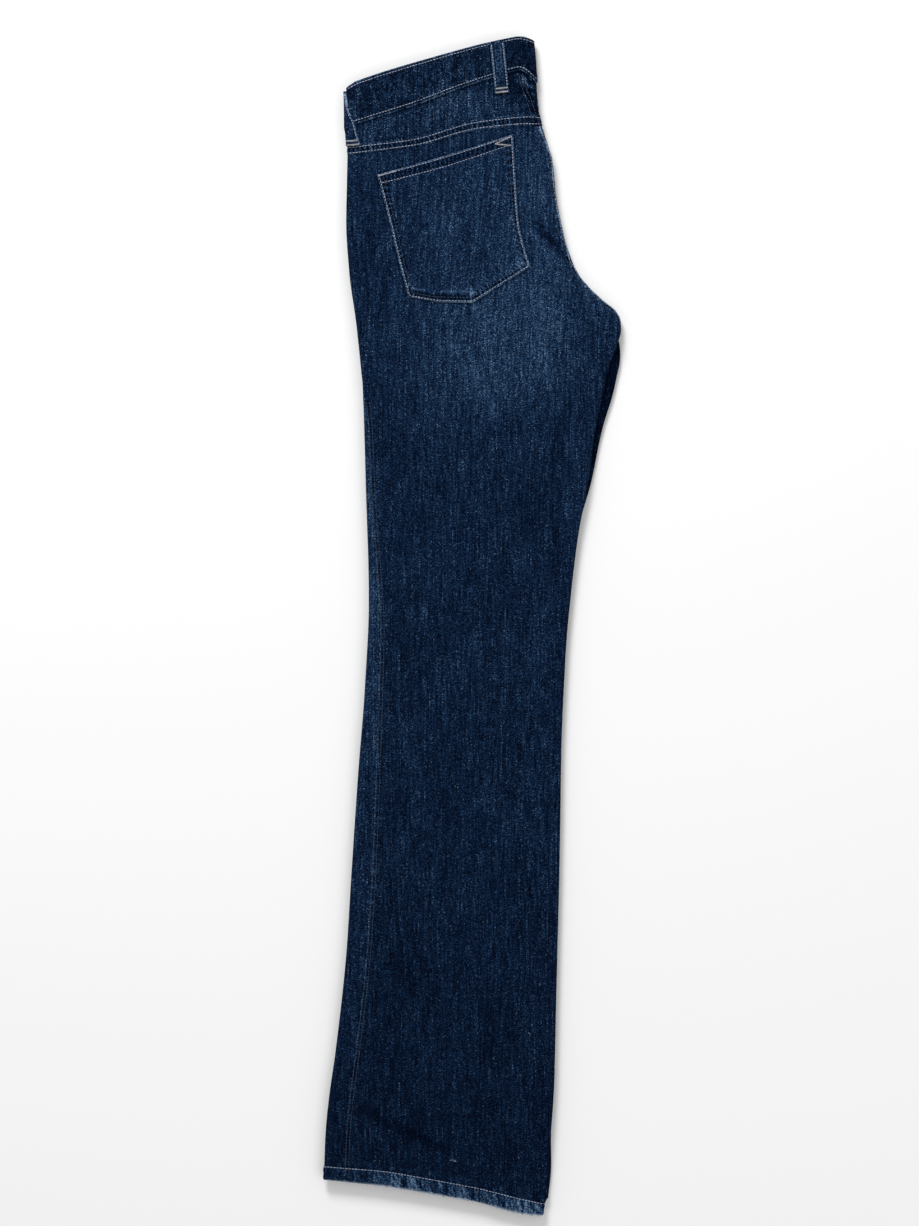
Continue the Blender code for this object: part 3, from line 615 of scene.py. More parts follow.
@dataclass
class Seam:
    """A run of stitching on the cloth, and how it draws the cloth up along it, or an outline that only
    lays a painted shadow beside a piece.

    Args:
        points: places along the run, in millimetres.
        pucker: height of the puckers beside it.
        half_width: how far they reach.
        wave: their usual length.
        groove: how deep the stitches pull in.
        slant: how far puckers lean as they leave the run, 0 for square to it.
        wear: how much lighter their tops are, and how much painted shade their hollows get.
        dark: how much painted shade lies along the run itself; beside an outline it is a painted
            shadow.
        seed: which puckers.
    """

    points: Array
    pucker: float = 0.22
    half_width: float = 4.5
    wave: float = 7.0
    groove: float = 0.22
    slant: float = 0.0
    wear: float = 0.35
    dark: float = 0.35
    seed: int = 1
    tree: KDTree = field(init=False)

    def __post_init__(self) -> None:
        """Space the places evenly and make them quick to search."""
        self.points = resampled(self.points, 1.0)
        self.tree = KDTree(len(self.points))
        for index, point in enumerate(self.points):
            self.tree.insert(Vector((point[0], point[1], 0.0)), index)
        self.tree.balance()

    def press_into(self, grid: SurfaceGrid) -> None:
        """Add the puckers and the stitch groove to a grid, with their wear and painted shade."""
        reach = self.half_width * 2.4
        low = self.points[:, :2].min(axis=0) - reach
        high = self.points[:, :2].max(axis=0) + reach
        flat = grid.points[..., :2]
        near = np.all((flat >= low) & (flat <= high), axis=2)
        rows, columns = np.nonzero(near)
        gaps, runs = np.empty(len(rows)), np.empty(len(rows))
        find = self.tree.find
        for i, (row, column) in enumerate(zip(rows, columns)):
            x, y = flat[row, column]
            _, index, gap = find((x, y, 0.0))
            gaps[i], runs[i] = gap, index
        leaned = runs + gaps * self.slant
        wavy = 0.65 * rungs(leaned, self.wave, self.seed)
        wavy += 0.6 * SoftNoise(self.seed + 2, self.wave * 0.6, 1.0)(leaned, 0.0 * leaned)
        hill = wavy * bell(gaps / self.half_width) * (gaps > 0.3)
        dip = bell(gaps / 0.9)
        grid.lift[rows, columns] += self.pucker * hill - self.groove * dip
        grid.wear[rows, columns] += self.wear * held(hill)
        grid.shade[rows, columns] += held(-hill) * self.wear * 1.3 + self.dark * dip


def resampled(points: Array, step: float) -> Array:
    """The same line with places evenly spaced along it."""
    points = np.asarray(points, dtype=float)
    lengths = np.concatenate([[0.0], np.cumsum(np.linalg.norm(np.diff(points, axis=0), axis=1))])
    count = max(2, round(lengths[-1] / step) + 1)
    at = np.linspace(0.0, lengths[-1], count)
    return np.stack([np.interp(at, lengths, points[:, axis]) for axis in range(3)], axis=1)


def line_across(left_along: float, start: Distance, end: Distance) -> Array:
    """Places on one line across the jeans, between two surface distances."""
    section = Section(left_along)
    return section.place(np.linspace(start(section), end(section), LINE_PLACES))[0]


def whole_line(left_along: float) -> Array:
    """Places on one line across the jeans, from tuck to tuck."""
    return line_across(left_along, lambda s: s.left_end, lambda s: s.right_end)


def line_along(top: float, bottom: float, distance: Distance, count: int = 160) -> Array:
    """Places down the jeans at a surface distance that may change."""
    sections = [Section(float(at)) for at in np.linspace(top, bottom, count)]
    return np.array([row.place(np.array([distance(row)]))[0][0] for row in sections])


PLAIN_TONE = Curve(TONE_ALONG)


def fade_and_painted_shade_at(across: Array, along: Array) -> Array:
    """How light the denim is at many places, with painted shade down one trough, and with a tufty lower
    edge to the seat's fade.
    """
    tufts = 11.0 * SoftNoise(71, 3.4, 300.0)(across, along)
    tufts += 8.0 * SoftNoise(72, 9.0, 400.0)(across, along)
    fade = PLAIN_TONE(along)
    for patch in FADES_AND_PAINTED_SHADE:
        ragged = along + np.where(along < patch.along, tufts, tufts * 0.25)
        square = ((across - patch.across) / patch.half_across) ** 2
        square = square + ((ragged - patch.along) / patch.half_along) ** 2
        fade = fade + patch.amount * bell(square, 1.25)
    return fade


def placed(name: str, data: bpy.types.ID) -> Piece:
    """A new object in the scene with this mesh, lamp or camera."""
    item = bpy.data.objects.new(name, data)
    bpy.context.scene.collection.objects.link(item)
    return item


def mesh_object(
    name: str,
    points: Array,
    faces: Sequence[Sequence[int]],
    attributes: dict[str, Array],
    smooth_angle: float = 50.0,
) -> Piece:
    """A new object from points in millimetres.

    Args:
        name: the piece's name.
        points: one row for each vertex.
        faces: vertex numbers of each face.
        attributes: values at the vertices that the materials read.
        smooth_angle: edges sharper than this many degrees stay crisp.

    Returns:
        The object, linked to the scene.
    """
    mesh = bpy.data.meshes.new(name)
    mesh.from_pydata((np.asarray(points) * MM).tolist(), [], [list(face) for face in faces])
    for key, values in attributes.items():
        values = np.asarray(values, dtype=np.float32)
        if values.ndim == 2:
            layer = mesh.attributes.new(key, "FLOAT_VECTOR", "POINT")
            layer.data.foreach_set("vector", values.ravel())
        else:
            layer = mesh.attributes.new(key, "FLOAT", "POINT")
            layer.data.foreach_set("value", values)
    mesh.shade_smooth()
    mesh.set_sharp_from_angle(angle=math.radians(smooth_angle))
    mesh.validate()
    mesh.update()
    return placed(name, mesh)


def grid_faces(rows: int, columns: int) -> list[tuple[int, int, int, int]]:
    """Faces of a grid whose rows run down the page and whose columns run to the right."""
    index = np.arange(rows * columns).reshape(rows, columns)
    corners = (index[:-1, :-1], index[1:, :-1], index[1:, 1:], index[:-1, 1:])
    return [tuple(face) for face in np.stack([c.ravel() for c in corners], axis=1).tolist()]


def border_indices(rows: int, columns: int) -> Array:
    """Vertex numbers round the outside of a grid."""
    index = np.arange(rows * columns).reshape(rows, columns)
    return np.concatenate([index[0], index[1:, -1], index[-1, -2::-1], index[-2:0:-1, 0]])


def travelled(points: Array, axis: int) -> Array:
    """Distance of each grid place from the first row (axis 0) or column (axis 1)."""
    steps = np.linalg.norm(np.diff(points, axis=axis), axis=2).cumsum(axis=axis)
    return np.insert(steps, 0, 0.0, axis=axis)


def edge_distance(grid: SurfaceGrid) -> Array:
    """Distance of each grid place from the nearest side of its piece, in millimetres."""
    across, down = travelled(grid.points, 1), travelled(grid.points, 0)
    sides = (across, across[:, -1:] - across, down, down[-1:] - down)
    return np.minimum.reduce(sides)


def cloth_shell(name: str, grid: SurfaceGrid, depth: float = CLOTH, lip_width: float = 1.2) -> Piece:
    """A thin shell of cloth: the outer face, its rounded rim and a turned-in lip.

    Args:
        name: the piece's name.
        grid: its places with lift, wear and shade.
        depth: how far the rim goes down, in millimetres.
        lip_width: how far it turns in below, in millimetres.

    Returns:
        The object, with the values that the denim reads.
    """
    rows, columns = grid.points.shape[:2]
    outer = grid.points + grid.ways * grid.lift[..., None]
    loop = border_indices(rows, columns)
    flat = outer.reshape(-1, 3)
    base = grid.points.reshape(-1, 3)[loop]
    ways = grid.ways.reshape(-1, 3)[loop]
    centre = flat.mean(axis=0)
    rim = base - ways * (depth - 0.05)
    inward = centre - base
    inward[:, 2] = 0.0
    lengths = np.maximum(np.linalg.norm(inward, axis=1, keepdims=True), 1.0)
    lip = rim + inward / lengths * lip_width
    points = np.concatenate([flat, rim, lip])
    faces = grid_faces(rows, columns)
    count = len(loop)
    rim_start, lip_start = len(flat), len(flat) + count
    for i in range(count):
        j = (i + 1) % count
        faces.append((int(loop[i]), int(loop[j]), rim_start + j, rim_start + i))
        faces.append((rim_start + i, rim_start + j, lip_start + j, lip_start + i))
    fade = fade_and_painted_shade_at(grid.across, grid.along).ravel()
    values = {
        "fade": np.concatenate([fade, fade[loop], fade[loop]]),
        "wear": np.concatenate([grid.wear.ravel(), grid.wear.ravel()[loop], np.zeros(count)]),
        # The rim and the lip below it get a fixed painted shade
        "shade": np.concatenate([grid.shade.ravel(), np.full(2 * count, 0.6)]),
        "cloth": np.concatenate([grid.cloth.reshape(-1, 3)] + [grid.cloth.reshape(-1, 3)[loop]] * 2),
    }
    return mesh_object(name, points, faces, values)


class NodeMaker:
    """Adds nodes to one tree and joins them."""

    def __init__(self, tree: bpy.types.NodeTree) -> None:
        """Args:
            tree: the node tree to add to.
        """
        self.tree = tree

    def add(self, kind: str, inputs: dict, **settings: object) -> bpy.types.Node:
        """Add a node; inputs maps a socket's name or number to a value or another socket."""
        node = self.tree.nodes.new(kind)
        for key, value in settings.items():
            setattr(node, key, value)
        for key, value in inputs.items():
            if isinstance(value, Socket):
                self.tree.links.new(value, node.inputs[key])
            else:
                node.inputs[key].default_value = value
        return node

    def link(self, *pairs: tuple[Socket, Socket]) -> None:
        """Join each output to its input."""
        for source, target in pairs:
            self.tree.links.new(source, target)

    def math(self, operation: str, *values: object) -> Socket:
        """Result of one Math node."""
        return self.add("ShaderNodeMath", dict(enumerate(values)), operation=operation).outputs[0]

    def scaled(self, vector: Socket, by: tuple) -> Socket:
        """A vector stretched along its axes."""
        return self.add("ShaderNodeVectorMath", {0: vector, 1: by}, operation="MULTIPLY").outputs[0]

    def joined(self, x: Socket, y: Socket) -> Socket:
        """A vector made from two values."""
        return self.add("ShaderNodeCombineXYZ", {0: x, 1: y}).outputs[0]

    def noise(self, vector: Socket, detail: float = 2.0) -> Socket:
        """Noise of about one bump to each unit of the vector."""
        inputs = {"Vector": vector, "Scale": 1.0, "Detail": detail, "Roughness": 0.55}
        return self.add("ShaderNodeTexNoise", inputs).outputs[0]

    def ramp(self, value: Socket, tints: Sequence[Tint]) -> Socket:
        """Colour of a value on a ramp through two or more tints."""
        node = self.add("ShaderNodeValToRGB", {0: value})
        stops = node.color_ramp.elements
        for stop, tint in zip((stops[0], stops[1]), (tints[0], tints[-1])):
            stop.position, stop.color = tint.place, (*tint.colour, 1.0)
        for tint in tints[1:-1]:
            stops.new(tint.place).color = (*tint.colour, 1.0)
        return node.outputs["Color"]


def new_material(name: str) -> tuple[bpy.types.Material, NodeMaker, bpy.types.Node]:
    """A new material, a maker for its nodes and its main shader."""
    material = bpy.data.materials.new(name)
    material.use_nodes = True
    return material, NodeMaker(material.node_tree), material.node_tree.nodes["Principled BSDF"]


def denim_group() -> bpy.types.NodeTree:
    """Indigo twill: slubby warp streaks, pale weft flecks, the wear and painted shade stored on the
    mesh, and its relief.
    """
    number, vector, colour = "NodeSocketFloat", "NodeSocketVector", "NodeSocketColor"
    inputs = {"Cloth": vector, "Fade": number, "Wear": number, "Shade": number, "Contrast": number}
    outputs = {"Color": colour, "Roughness": number, "Height": number}
    group = bpy.data.node_groups.new("Denim", "ShaderNodeTree")
    for way, sockets in (("INPUT", inputs), ("OUTPUT", outputs)):
        for socket, kind in sockets.items():
            group.interface.new_socket(socket, in_out=way, socket_type=kind)
    make = NodeMaker(group)
    entry, leave = make.add("NodeGroupInput", {}), make.add("NodeGroupOutput", {})
    cloth = entry.outputs["Cloth"]
    split = make.add("ShaderNodeSeparateXYZ", {0: cloth})
    across, along = split.outputs["X"], split.outputs["Y"]
    warp = make.math("FLOOR", make.math("DIVIDE", across, WARP_PITCH))
    pair = make.math("FLOOR", make.math("DIVIDE", across, 2.0 * WARP_PITCH))
    pick = make.math("FLOOR", make.math("DIVIDE", along, PICK_PITCH))
    # Two values, their stretches, and the weight of the noise over them
    woven = (
        (pair, 5.3, along, 0.05, 0.50),
        (warp, 7.9, along, 0.90, 1.20),
        (pair, 6.1, along, 0.80, 0.95),
        (pair, 3.7, along, 0.020, 0.42),
        (across, 0.45, pick, 4.7, 0.38),
    )
    layers = []
    for first, by_first, second, by_second, amount in woven:
        first, second = make.math("MULTIPLY", first, by_first), make.math("MULTIPLY", second, by_second)
        layers.append((make.joined(first, second), amount))
    layers.append((make.scaled(cloth, (0.022, 0.013, 1.0)), 0.16))
    value, fleck = None, None
    for vector_in, amount in layers:
        source = make.noise(vector_in)
        fleck = source if amount > 1.0 else fleck
        part = make.math("MULTIPLY", make.math("SUBTRACT", source, 0.5), amount)
        value = part if value is None else make.math("ADD", value, part)
    diagonal = make.math("MULTIPLY_ADD", along, RIB_SLANT, across)
    ribs = make.math("PINGPONG", diagonal, RIB_PITCH)
    value = make.math("MULTIPLY_ADD", ribs, 0.62, make.math("SUBTRACT", value, 0.223))
    value = make.math("MULTIPLY", value, entry.outputs["Contrast"])
    worn = make.math("MULTIPLY", entry.outputs["Wear"], make.math("MULTIPLY_ADD", fleck, 1.2, 0.4))
    tone = make.math("ADD", make.math("ADD", entry.outputs["Fade"], value), worn)
    tone = make.math("SUBTRACT", tone, make.math("MULTIPLY", entry.outputs["Shade"], 0.24))
    tint = make.ramp(tone, INDIGO)
    height = make.math("MULTIPLY_ADD", ribs, 0.6, make.math("MULTIPLY", value, 1.5))
    make.link(
        (tint, leave.inputs["Color"]),
        (make.math("MULTIPLY_ADD", value, -0.08, 0.9), leave.inputs["Roughness"]),
        (height, leave.inputs["Height"]),
    )
    return group


@dataclass(frozen=True)
class DenimFinish:
    """Washed indigo denim on one kind of piece."""

    name: str
    lighter: float = 0.0
    contrast: float = 1.0
    bump: float = 0.5

    def build(self, group: bpy.types.NodeTree) -> bpy.types.Material:
        """Make the material.

        Args:
            group: the shared denim group.

        Returns:
            The material, which reads the values stored on the mesh.
        """
        material, make, shader = new_material(self.name)
        read = {}
        for key in ("fade", "wear", "shade", "cloth"):
            node = make.add("ShaderNodeAttribute", {}, attribute_name=key)
            read[key] = node.outputs["Vector" if key == "cloth" else "Fac"]
        fade = make.math("ADD", read["fade"], self.lighter)
        denim = make.add("ShaderNodeGroup", {}, node_tree=group)
        denim.inputs["Contrast"].default_value = self.contrast
        bump = make.add("ShaderNodeBump", {"Strength": self.bump, "Distance": 0.0004})
        make.link(
            (read["cloth"], denim.inputs["Cloth"]),
            (fade, denim.inputs["Fade"]),
            (read["wear"], denim.inputs["Wear"]),
            (read["shade"], denim.inputs["Shade"]),
            (denim.outputs["Height"], bump.inputs["Height"]),
            (denim.outputs["Color"], shader.inputs["Base Color"]),
            (denim.outputs["Roughness"], shader.inputs["Roughness"]),
            (bump.outputs["Normal"], shader.inputs["Normal"]),
        )
        shader.inputs["Specular IOR Level"].default_value = 0.02
        return material


@dataclass(frozen=True)
class ThreadFinish:
    """Matt cotton thread, a little uneven in colour."""

    name: str
    dark: tuple[float, float, float]
    light: tuple[float, float, float]

    def build(self) -> bpy.types.Material:
        """Make the material."""
        material, make, shader = new_material(self.name)
        place = make.add("ShaderNodeTexCoord", {}).outputs["Object"]
        patchy = make.noise(make.scaled(place, (260.0, 260.0, 260.0)), 3.0)
        ply = make.noise(make.scaled(place, (2600.0, 2600.0, 2600.0)), 1.0)
        both = make.math("MULTIPLY_ADD", ply, 0.5, make.math("MULTIPLY_ADD", patchy, 1.6, -0.55))
        tint = make.ramp(both, (Tint(0.15, self.dark), Tint(0.85, self.light)))
        bump = make.add("ShaderNodeBump", {"Strength": 0.4, "Distance": 0.0002, "Height": ply})
        make.link(
            (tint, shader.inputs["Base Color"]),
            (bump.outputs["Normal"], shader.inputs["Normal"]),
        )
        shader.inputs["Roughness"].default_value = 0.75
        shader.inputs["Specular IOR Level"].default_value = 0.2
        return material


@dataclass(frozen=True)
class FloorFinish:
    """Plain pale floor."""

    tone: float = 0.97

    def build(self) -> bpy.types.Material:
        """Make the material."""
        material, _, shader = new_material("pale_floor")
        shader.inputs["Base Color"].default_value = (self.tone, self.tone, self.tone, 1.0)
        shader.inputs["Roughness"].default_value = 0.9
        shader.inputs["Specular IOR Level"].default_value = 0.1
        return material


class Slot(Enum):
    """Kinds of material slot, which dress takes but does not use."""

    DENIM = "denim"
    INNER = "inner_denim"
    TRIM = "denim_trim"


class Finishes:
    """Every material, built once."""

    def __init__(self) -> None:
        """Build the shared group and the materials that use it."""
        group = denim_group()
        self.leg = DenimFinish("denim_leg", lighter=-0.067, contrast=1.25).build(group)
        self.yoke = DenimFinish("denim_yoke", lighter=-0.085, contrast=1.45).build(group)
        self.band = DenimFinish("denim_waistband", lighter=-0.175, contrast=1.5).build(group)
        self.pocket = DenimFinish("denim_pocket", lighter=-0.058, contrast=1.25).build(group)
        self.loop = DenimFinish("denim_loop", lighter=0.02, contrast=1.3).build(group)
        self.under = DenimFinish("denim_under", lighter=-0.09, contrast=1.2).build(group)
        self.thread = ThreadFinish("topstitch", (0.13, 0.155, 0.22), (0.53, 0.60, 0.76)).build()
        self.tonal = ThreadFinish("tonal_stitch", (0.014, 0.028, 0.06), (0.07, 0.10, 0.15)).build()
        self.tack = ThreadFinish("tack_thread", (0.26, 0.26, 0.27), (0.52, 0.52, 0.54)).build()
        self.fibre = ThreadFinish("frayed_weft", (0.08, 0.14, 0.24), (0.50, 0.58, 0.70)).build()


def dress(item: Piece, material: bpy.types.Material, slot: Slot, *nodes: str) -> None:
    """Give a piece its material and body, and hide the solids that it stands for."""
    item.data.materials.clear()
    item.data.materials.append(material)
    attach(item, "root")
    if nodes:
        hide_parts(*nodes)
    log.info("%s: %d vertices", item.name, len(item.data.vertices))


def declare_sheet(grid: SurfaceGrid, turned: float = 0.0) -> None:
    """Work out the flat cut of what shows of a piece, which folding leaves as it was; the sizes are not
    kept.

    Args:
        grid: its places.
        turned: width of the cloth that goes down round its edges, in millimetres.
    """
    points = grid.points * MM
    width = np.linalg.norm(np.diff(points, axis=1), axis=2).sum(axis=1).max()
    length = np.linalg.norm(np.diff(points, axis=0), axis=2).sum(axis=0).max()
    width, length = width + 2.0 * turned * MM, length + 2.0 * turned * MM


def finished(
    name: str, grid: SurfaceGrid, look: bpy.types.Material, node: str
) -> Piece:
    """A denim piece from its grid, dressed; its flat cut is worked out but not kept."""
    item = cloth_shell(name, grid)
    dress(item, look, Slot.DENIM, node)
    declare_sheet(grid)
    return item


def places_below(grid: SurfaceGrid, along: float) -> Array:
    """1 on the rows below a place along the jeans, fading to 0 above it."""
    return ease((along - grid.places) / 60.0)


def hem_shares(places: Array) -> tuple[Array, Array]:
    """1 within the turned hem, and 1 at its very edge fading out over 4 mm."""
    return ease((HEM_STITCH - places) / 1.4), held(1.0 - (places - HEM_EDGE) / 4.0)


@dataclass
class Legs:
    """The left leg: back panel on top, and the strip of front panel round the left fold."""

    step_along: float = 1.8
    back_columns: int = 150
    front_columns: int = 26
    seams: list[Seam] = field(default_factory=list)

    def hem_lift(self, grid: SurfaceGrid) -> None:
        """Raise the turned hem and rope it as washing does, worn lighter on the ropes' tops with
        painted shade in their hollows.
        """
        places = grid.places
        into_hem, near_edge = hem_shares(places)
        slanted = grid.across + (places - HEM_EDGE) * 0.9
        roping = 0.7 * rungs(slanted, 8.5, 31)
        roping += 0.4 * SoftNoise(30, 4.2, 1.0)(slanted, 0.0 * slanted)
        grid.lift += into_hem * (HEM_EXTRA + 0.34 * roping) - 0.75 * near_edge**2
        frayed = grid.noise(32, 2.2, 1000.0)
        patchy = grid.noise(33, 26.0, 1000.0)
        bare = near_edge**1.5 * np.clip(0.55 + 0.5 * frayed + 0.65 * patchy, 0.0, 1.4)
        streaks = 1.0 + 1.1 * grid.noise(36, 1.25, 12.0)
        fine = rungs(grid.across + (places - HEM_EDGE) * 0.25, 3.6, 38)
        grid.wear += into_hem * 0.13 * held(fine)
        grid.shade += into_hem * 0.45 * held(-fine)
        grid.wear += into_hem * Curve(HEM_WEAR)(grid.across) * streaks
        grid.wear += into_hem * 0.10 * held(roping) + 0.42 * bare
        grid.shade += into_hem * 0.75 * held(-roping)
        over_hem = bell((places - HEM_STITCH - 4.0) / 3.0)
        grid.wear += 0.20 * over_hem * held(0.3 + frayed)

    def relief(self, grid: SurfaceGrid) -> None:
        """Add the creases and the soft unevenness of laid cloth, with the ridges a little lighter and
        painted shade in the troughs.
        """
        fine = crease_height(CREASES, grid.across, grid.along)
        grid.lift += fine
        grid.wear += 0.07 * held(fine)
        grid.shade += 0.45 * np.clip(-fine, 0.0, 2.0)
        grid.lift += 0.22 * grid.noise(11, 34.0, 60.0)
        grid.lift += 0.07 * grid.noise(12, 9.0, 22.0)
        for seam in self.seams:
            seam.press_into(grid)

    def build(self, finishes: Finishes) -> list[Piece]:
        """Build both panels.

        Args:
            finishes: the materials.

        Returns:
            The back panel, the front strip and the far half's strip at the seat.
        """
        self.seams = seat_and_leg_seams()
        back = surface_grid(
            YOKE_SEAM, HEM_EDGE, lambda s: s.seam, lambda s: s.centre_back,
            self.step_along, self.back_columns,
        )
        self.relief(back)
        self.hem_lift(back)
        from_seam = back.cloth[..., 0] - back.cloth[:, :1, 0]
        ridge = bell(from_seam / 5.2, 6)
        back.lift += SIDE_SEAM_EXTRA * ridge
        back.wear += 0.26 * bell(from_seam / 1.1) * places_below(back, 250.0)
        from_fold = back.cloth[:, -1:, 0] - back.cloth[..., 0]
        flecks = np.clip(0.3 + 1.3 * back.noise(16, 2.0, 3.5), 0.0, 1.2)
        above_crotch = 1.0 - places_below(back, 320.0)
        back.wear += 0.75 * bell(from_fold / 3.2) * flecks * above_crotch
        back_item = finished("back_leg_panel", back, finishes.leg, "left_back_panel")

        front = surface_grid(
            WAIST_SEAM, HEM_EDGE, lambda s: s.left_end, lambda s: s.seam,
            self.step_along, self.front_columns,
        )
        self.relief(front)
        self.front_wear(front)
        front_item = finished("front_leg_panel", front, finishes.leg, "left_front_panel")

        crotch = max(p for p in np.linspace(YOKE_SEAM, 200.0, 600) if not Section(p).above_crotch)
        far = surface_grid(
            YOKE_SEAM, float(crotch) + 3.0, lambda s: s.centre_back, lambda s: s.right_end,
            self.step_along, 12,
        )
        ragged = far.noise(15, 2.5, 5.0)
        far.lift += 0.3 * ragged
        from_seam = far.cloth[..., 0] - far.cloth[:, :1, 0]
        far.wear += 0.8 * held(ragged + 0.1) * bell(from_seam / 3.5)
        far_item = finished("far_back_panel", far, finishes.leg, "right_back_panel")
        return [back_item, front_item, far_item]

    def front_wear(self, grid: SurfaceGrid) -> None:
        """Hem, seam edge and the pale strip beside the side seam on the front panel."""
        places = grid.places
        into_hem, near_edge = hem_shares(places)
        roping = rungs(grid.across + (places - HEM_EDGE) * 0.9, 8.5, 34)
        grid.lift += into_hem * (HEM_EXTRA + 0.3 * roping) - 0.75 * near_edge**2
        grid.wear += into_hem * Curve(HEM_WEAR)(grid.across) + 0.30 * near_edge**1.5
        uneven = 1.0 + 0.5 * grid.noise(35, 3.0, 16.0)
        grid.wear += Curve(PALE_STRIP)(places) * uneven


def seat_and_leg_seams() -> list[Seam]:
    """Stitch lines that draw up the leg panels, and the painted shadow round the pocket."""
    seam_rows = [
        line_along(SIDE_STITCH_TOP, HEM_EDGE + 3.0, lambda s, o=offset: s.seam + o)
        for offset in SIDE_STITCH_OFFSETS
    ]
    return [
        Seam(seam_rows[0], pucker=0.20, half_width=4.0, wave=9.0, wear=0.10, seed=41),
        Seam(seam_rows[1], pucker=0.18, half_width=4.5, wave=8.0, wear=0.10, seed=42),
        Seam(
            line_across(YOKE_SEAM - 1.0, lambda s: s.left_end, lambda s: s.centre_back),
            pucker=0.28, half_width=5.0, wave=8.0, groove=0.0, wear=0.12, seed=43,
        ),
        Seam(
            line_along(YOKE_SEAM - 1.0, 300.0, lambda s: s.centre_back - 1.0),
            pucker=0.5, half_width=3.6, wave=6.0, groove=0.1, wear=0.40, seed=44,
        ),
        Seam(
            whole_line(HEM_STITCH),
            pucker=0.3, half_width=5.0, wave=8.5, groove=0.35, slant=0.7, wear=0.12, seed=45,
        ),
        Seam(Pocket().rim(), pucker=0.15, wave=6.0, groove=0.0, wear=0.05, dark=1.0, seed=46),
    ]


@dataclass
class Waist:
    """Both yokes and the waistband."""

    step_along: float = 1.0
    columns: int = 176

    def yoke(self, finishes: Finishes) -> list[Piece]:
        """Build the left yoke and the bit of the right one past the centre back."""
        made = []
        for name, node, left, right, columns in (
            ("back_yoke", "left_back_yoke", lambda s: s.seam, lambda s: s.centre_back, self.columns),
            ("far_yoke", "right_back_yoke", lambda s: s.centre_back, lambda s: s.right_end, 30),
        ):
            grid = surface_grid(WAIST_SEAM, YOKE_SEAM, left, right, self.step_along, columns)
            places = grid.places
            ridge = ease((YOKE_RIDGE + 0.5 - places) / 0.8)
            rounded = bell(edge_distance(grid) / 0.7)
            grid.lift += FELLED_SEAM_EXTRA * ridge - 0.45 * rounded * ridge
            edge = bell((places - YOKE_RIDGE + 0.2) / 0.55)
            low_edge = bell((places - YOKE_SEAM - 0.4) / 0.6)
            worn = 0.85 + 0.4 * grid.noise(51, 2.6, math.inf)
            grid.wear += (0.28 * edge + 0.20 * low_edge) * worn
            # Painted shade in the corner at the foot of the felled strip's raised edge
            grid.shade += 0.55 * bell((places - YOKE_RIDGE - 1.3) / 0.8)
            # Puckers between the felled seam's rows: tops worn lighter, painted shade in the hollows
            ladder = rungs(grid.across + places * 0.15, 4.3, 52)
            inside = ridge * bell((places - (YOKE_RIDGE + YOKE_SEAM) / 2.0) / 2.9, 4)
            grid.lift += 0.28 * inside * ladder
            grid.wear += 0.15 * inside * held(ladder)
            grid.shade += 1.7 * inside * held(-1.7 * ladder + 0.1)
            grid.lift += 0.2 * grid.noise(53, 16.0, 14.0)
            # Painted shadow under the waistband's lower edge
            grid.shade += 1.1 * bell((WAIST_SEAM - places) / 1.5)
            self.crinkle(grid, name == "far_yoke")
            for seam in yoke_seams() + centre_back_seams() + [loop_shadow()]:
                seam.press_into(grid)
            made.append(finished(name, grid, finishes.yoke, node))
        return made

    def crinkle(self, grid: SurfaceGrid, past_seam: bool) -> None:
        """Crumple the cloth beside the centre back seam: bumps worn lighter, painted shade in the
        hollows and a little over the whole strip.

        Args:
            grid: the yoke's places.
            past_seam: whether the seam is at the grid's left side.
        """
        side = grid.cloth[:, :1, 0] if past_seam else grid.cloth[:, -1:, 0]
        gap = np.abs(grid.cloth[..., 0] - side)
        bumps = SoftNoise(55, 2.8, 3.8)(grid.across + 0.4 * grid.along, grid.along)
        bumps += 0.8 * SoftNoise(56, 2.0, 2.4)(grid.across - 0.5 * grid.along, grid.along)
        close = bell(gap / 8.5, 4)
        grid.lift += 0.45 * close * bumps
        grid.wear += close * 0.62 * held(bumps - 0.15)
        grid.shade += close * (1.7 * held(-bumps) + 0.3)

    def band(self, finishes: Finishes) -> Piece:
        """Build the waistband, folded round both edges."""
        grid = surface_grid(
            WAIST_TOP, WAIST_SEAM, lambda s: s.left_end, lambda s: s.right_end,
            self.step_along, self.columns + 20,
        )
        gap = edge_distance(grid)
        grid.lift += WAISTBAND_EXTRA - 1.3 * bell(gap / 0.8)
        grid.lift += 0.25 * grid.noise(61, 22.0, 12.0)
        places = grid.places
        # Lighter lines along both folded edges, worn; along the lower one also a painted highlight
        # where the turn catches the light
        low = bell((places - WAIST_SEAM - 0.6) / 0.75)
        high = bell((places - WAIST_TOP + 0.6) / 0.7)
        broken = 0.85 + 0.4 * grid.noise(62, 3.0, math.inf)
        grid.wear += (0.50 * low + 0.30 * high) * broken
        grid.shade += 0.45 * bell((places - WAIST_SEAM - 1.9) / 0.7)
        grid.shade += 0.30 * bell((places - WAIST_TOP + 4.6) / 0.9)
        # Crumple: tops and slanted squiggles worn lighter, painted shade in the hollows
        crumple = grid.noise(57, 3.4, 4.6)
        grid.lift += 0.16 * crumple
        slanted = SoftNoise(58, 1.6, 5.0)(grid.across + 0.6 * grid.along, grid.along)
        grid.wear += 0.08 * held(crumple) + 0.14 * held(slanted - 0.25)
        grid.shade += 0.55 * held(-crumple)
        for seam in waistband_seams() + [loop_shadow()]:
            seam.press_into(grid)
        item = cloth_shell("waistband_shell", grid)
        dress(item, finishes.band, Slot.DENIM, "waistband")
        declare_sheet(grid)
        return item


def loop_shadow() -> Seam:
    """The painted shadow beside the belt loop near the centre back."""
    return Seam(BeltLoops().rim(), pucker=0.1, wave=6.0, groove=0.0, wear=0.05, dark=1.3, seed=69)


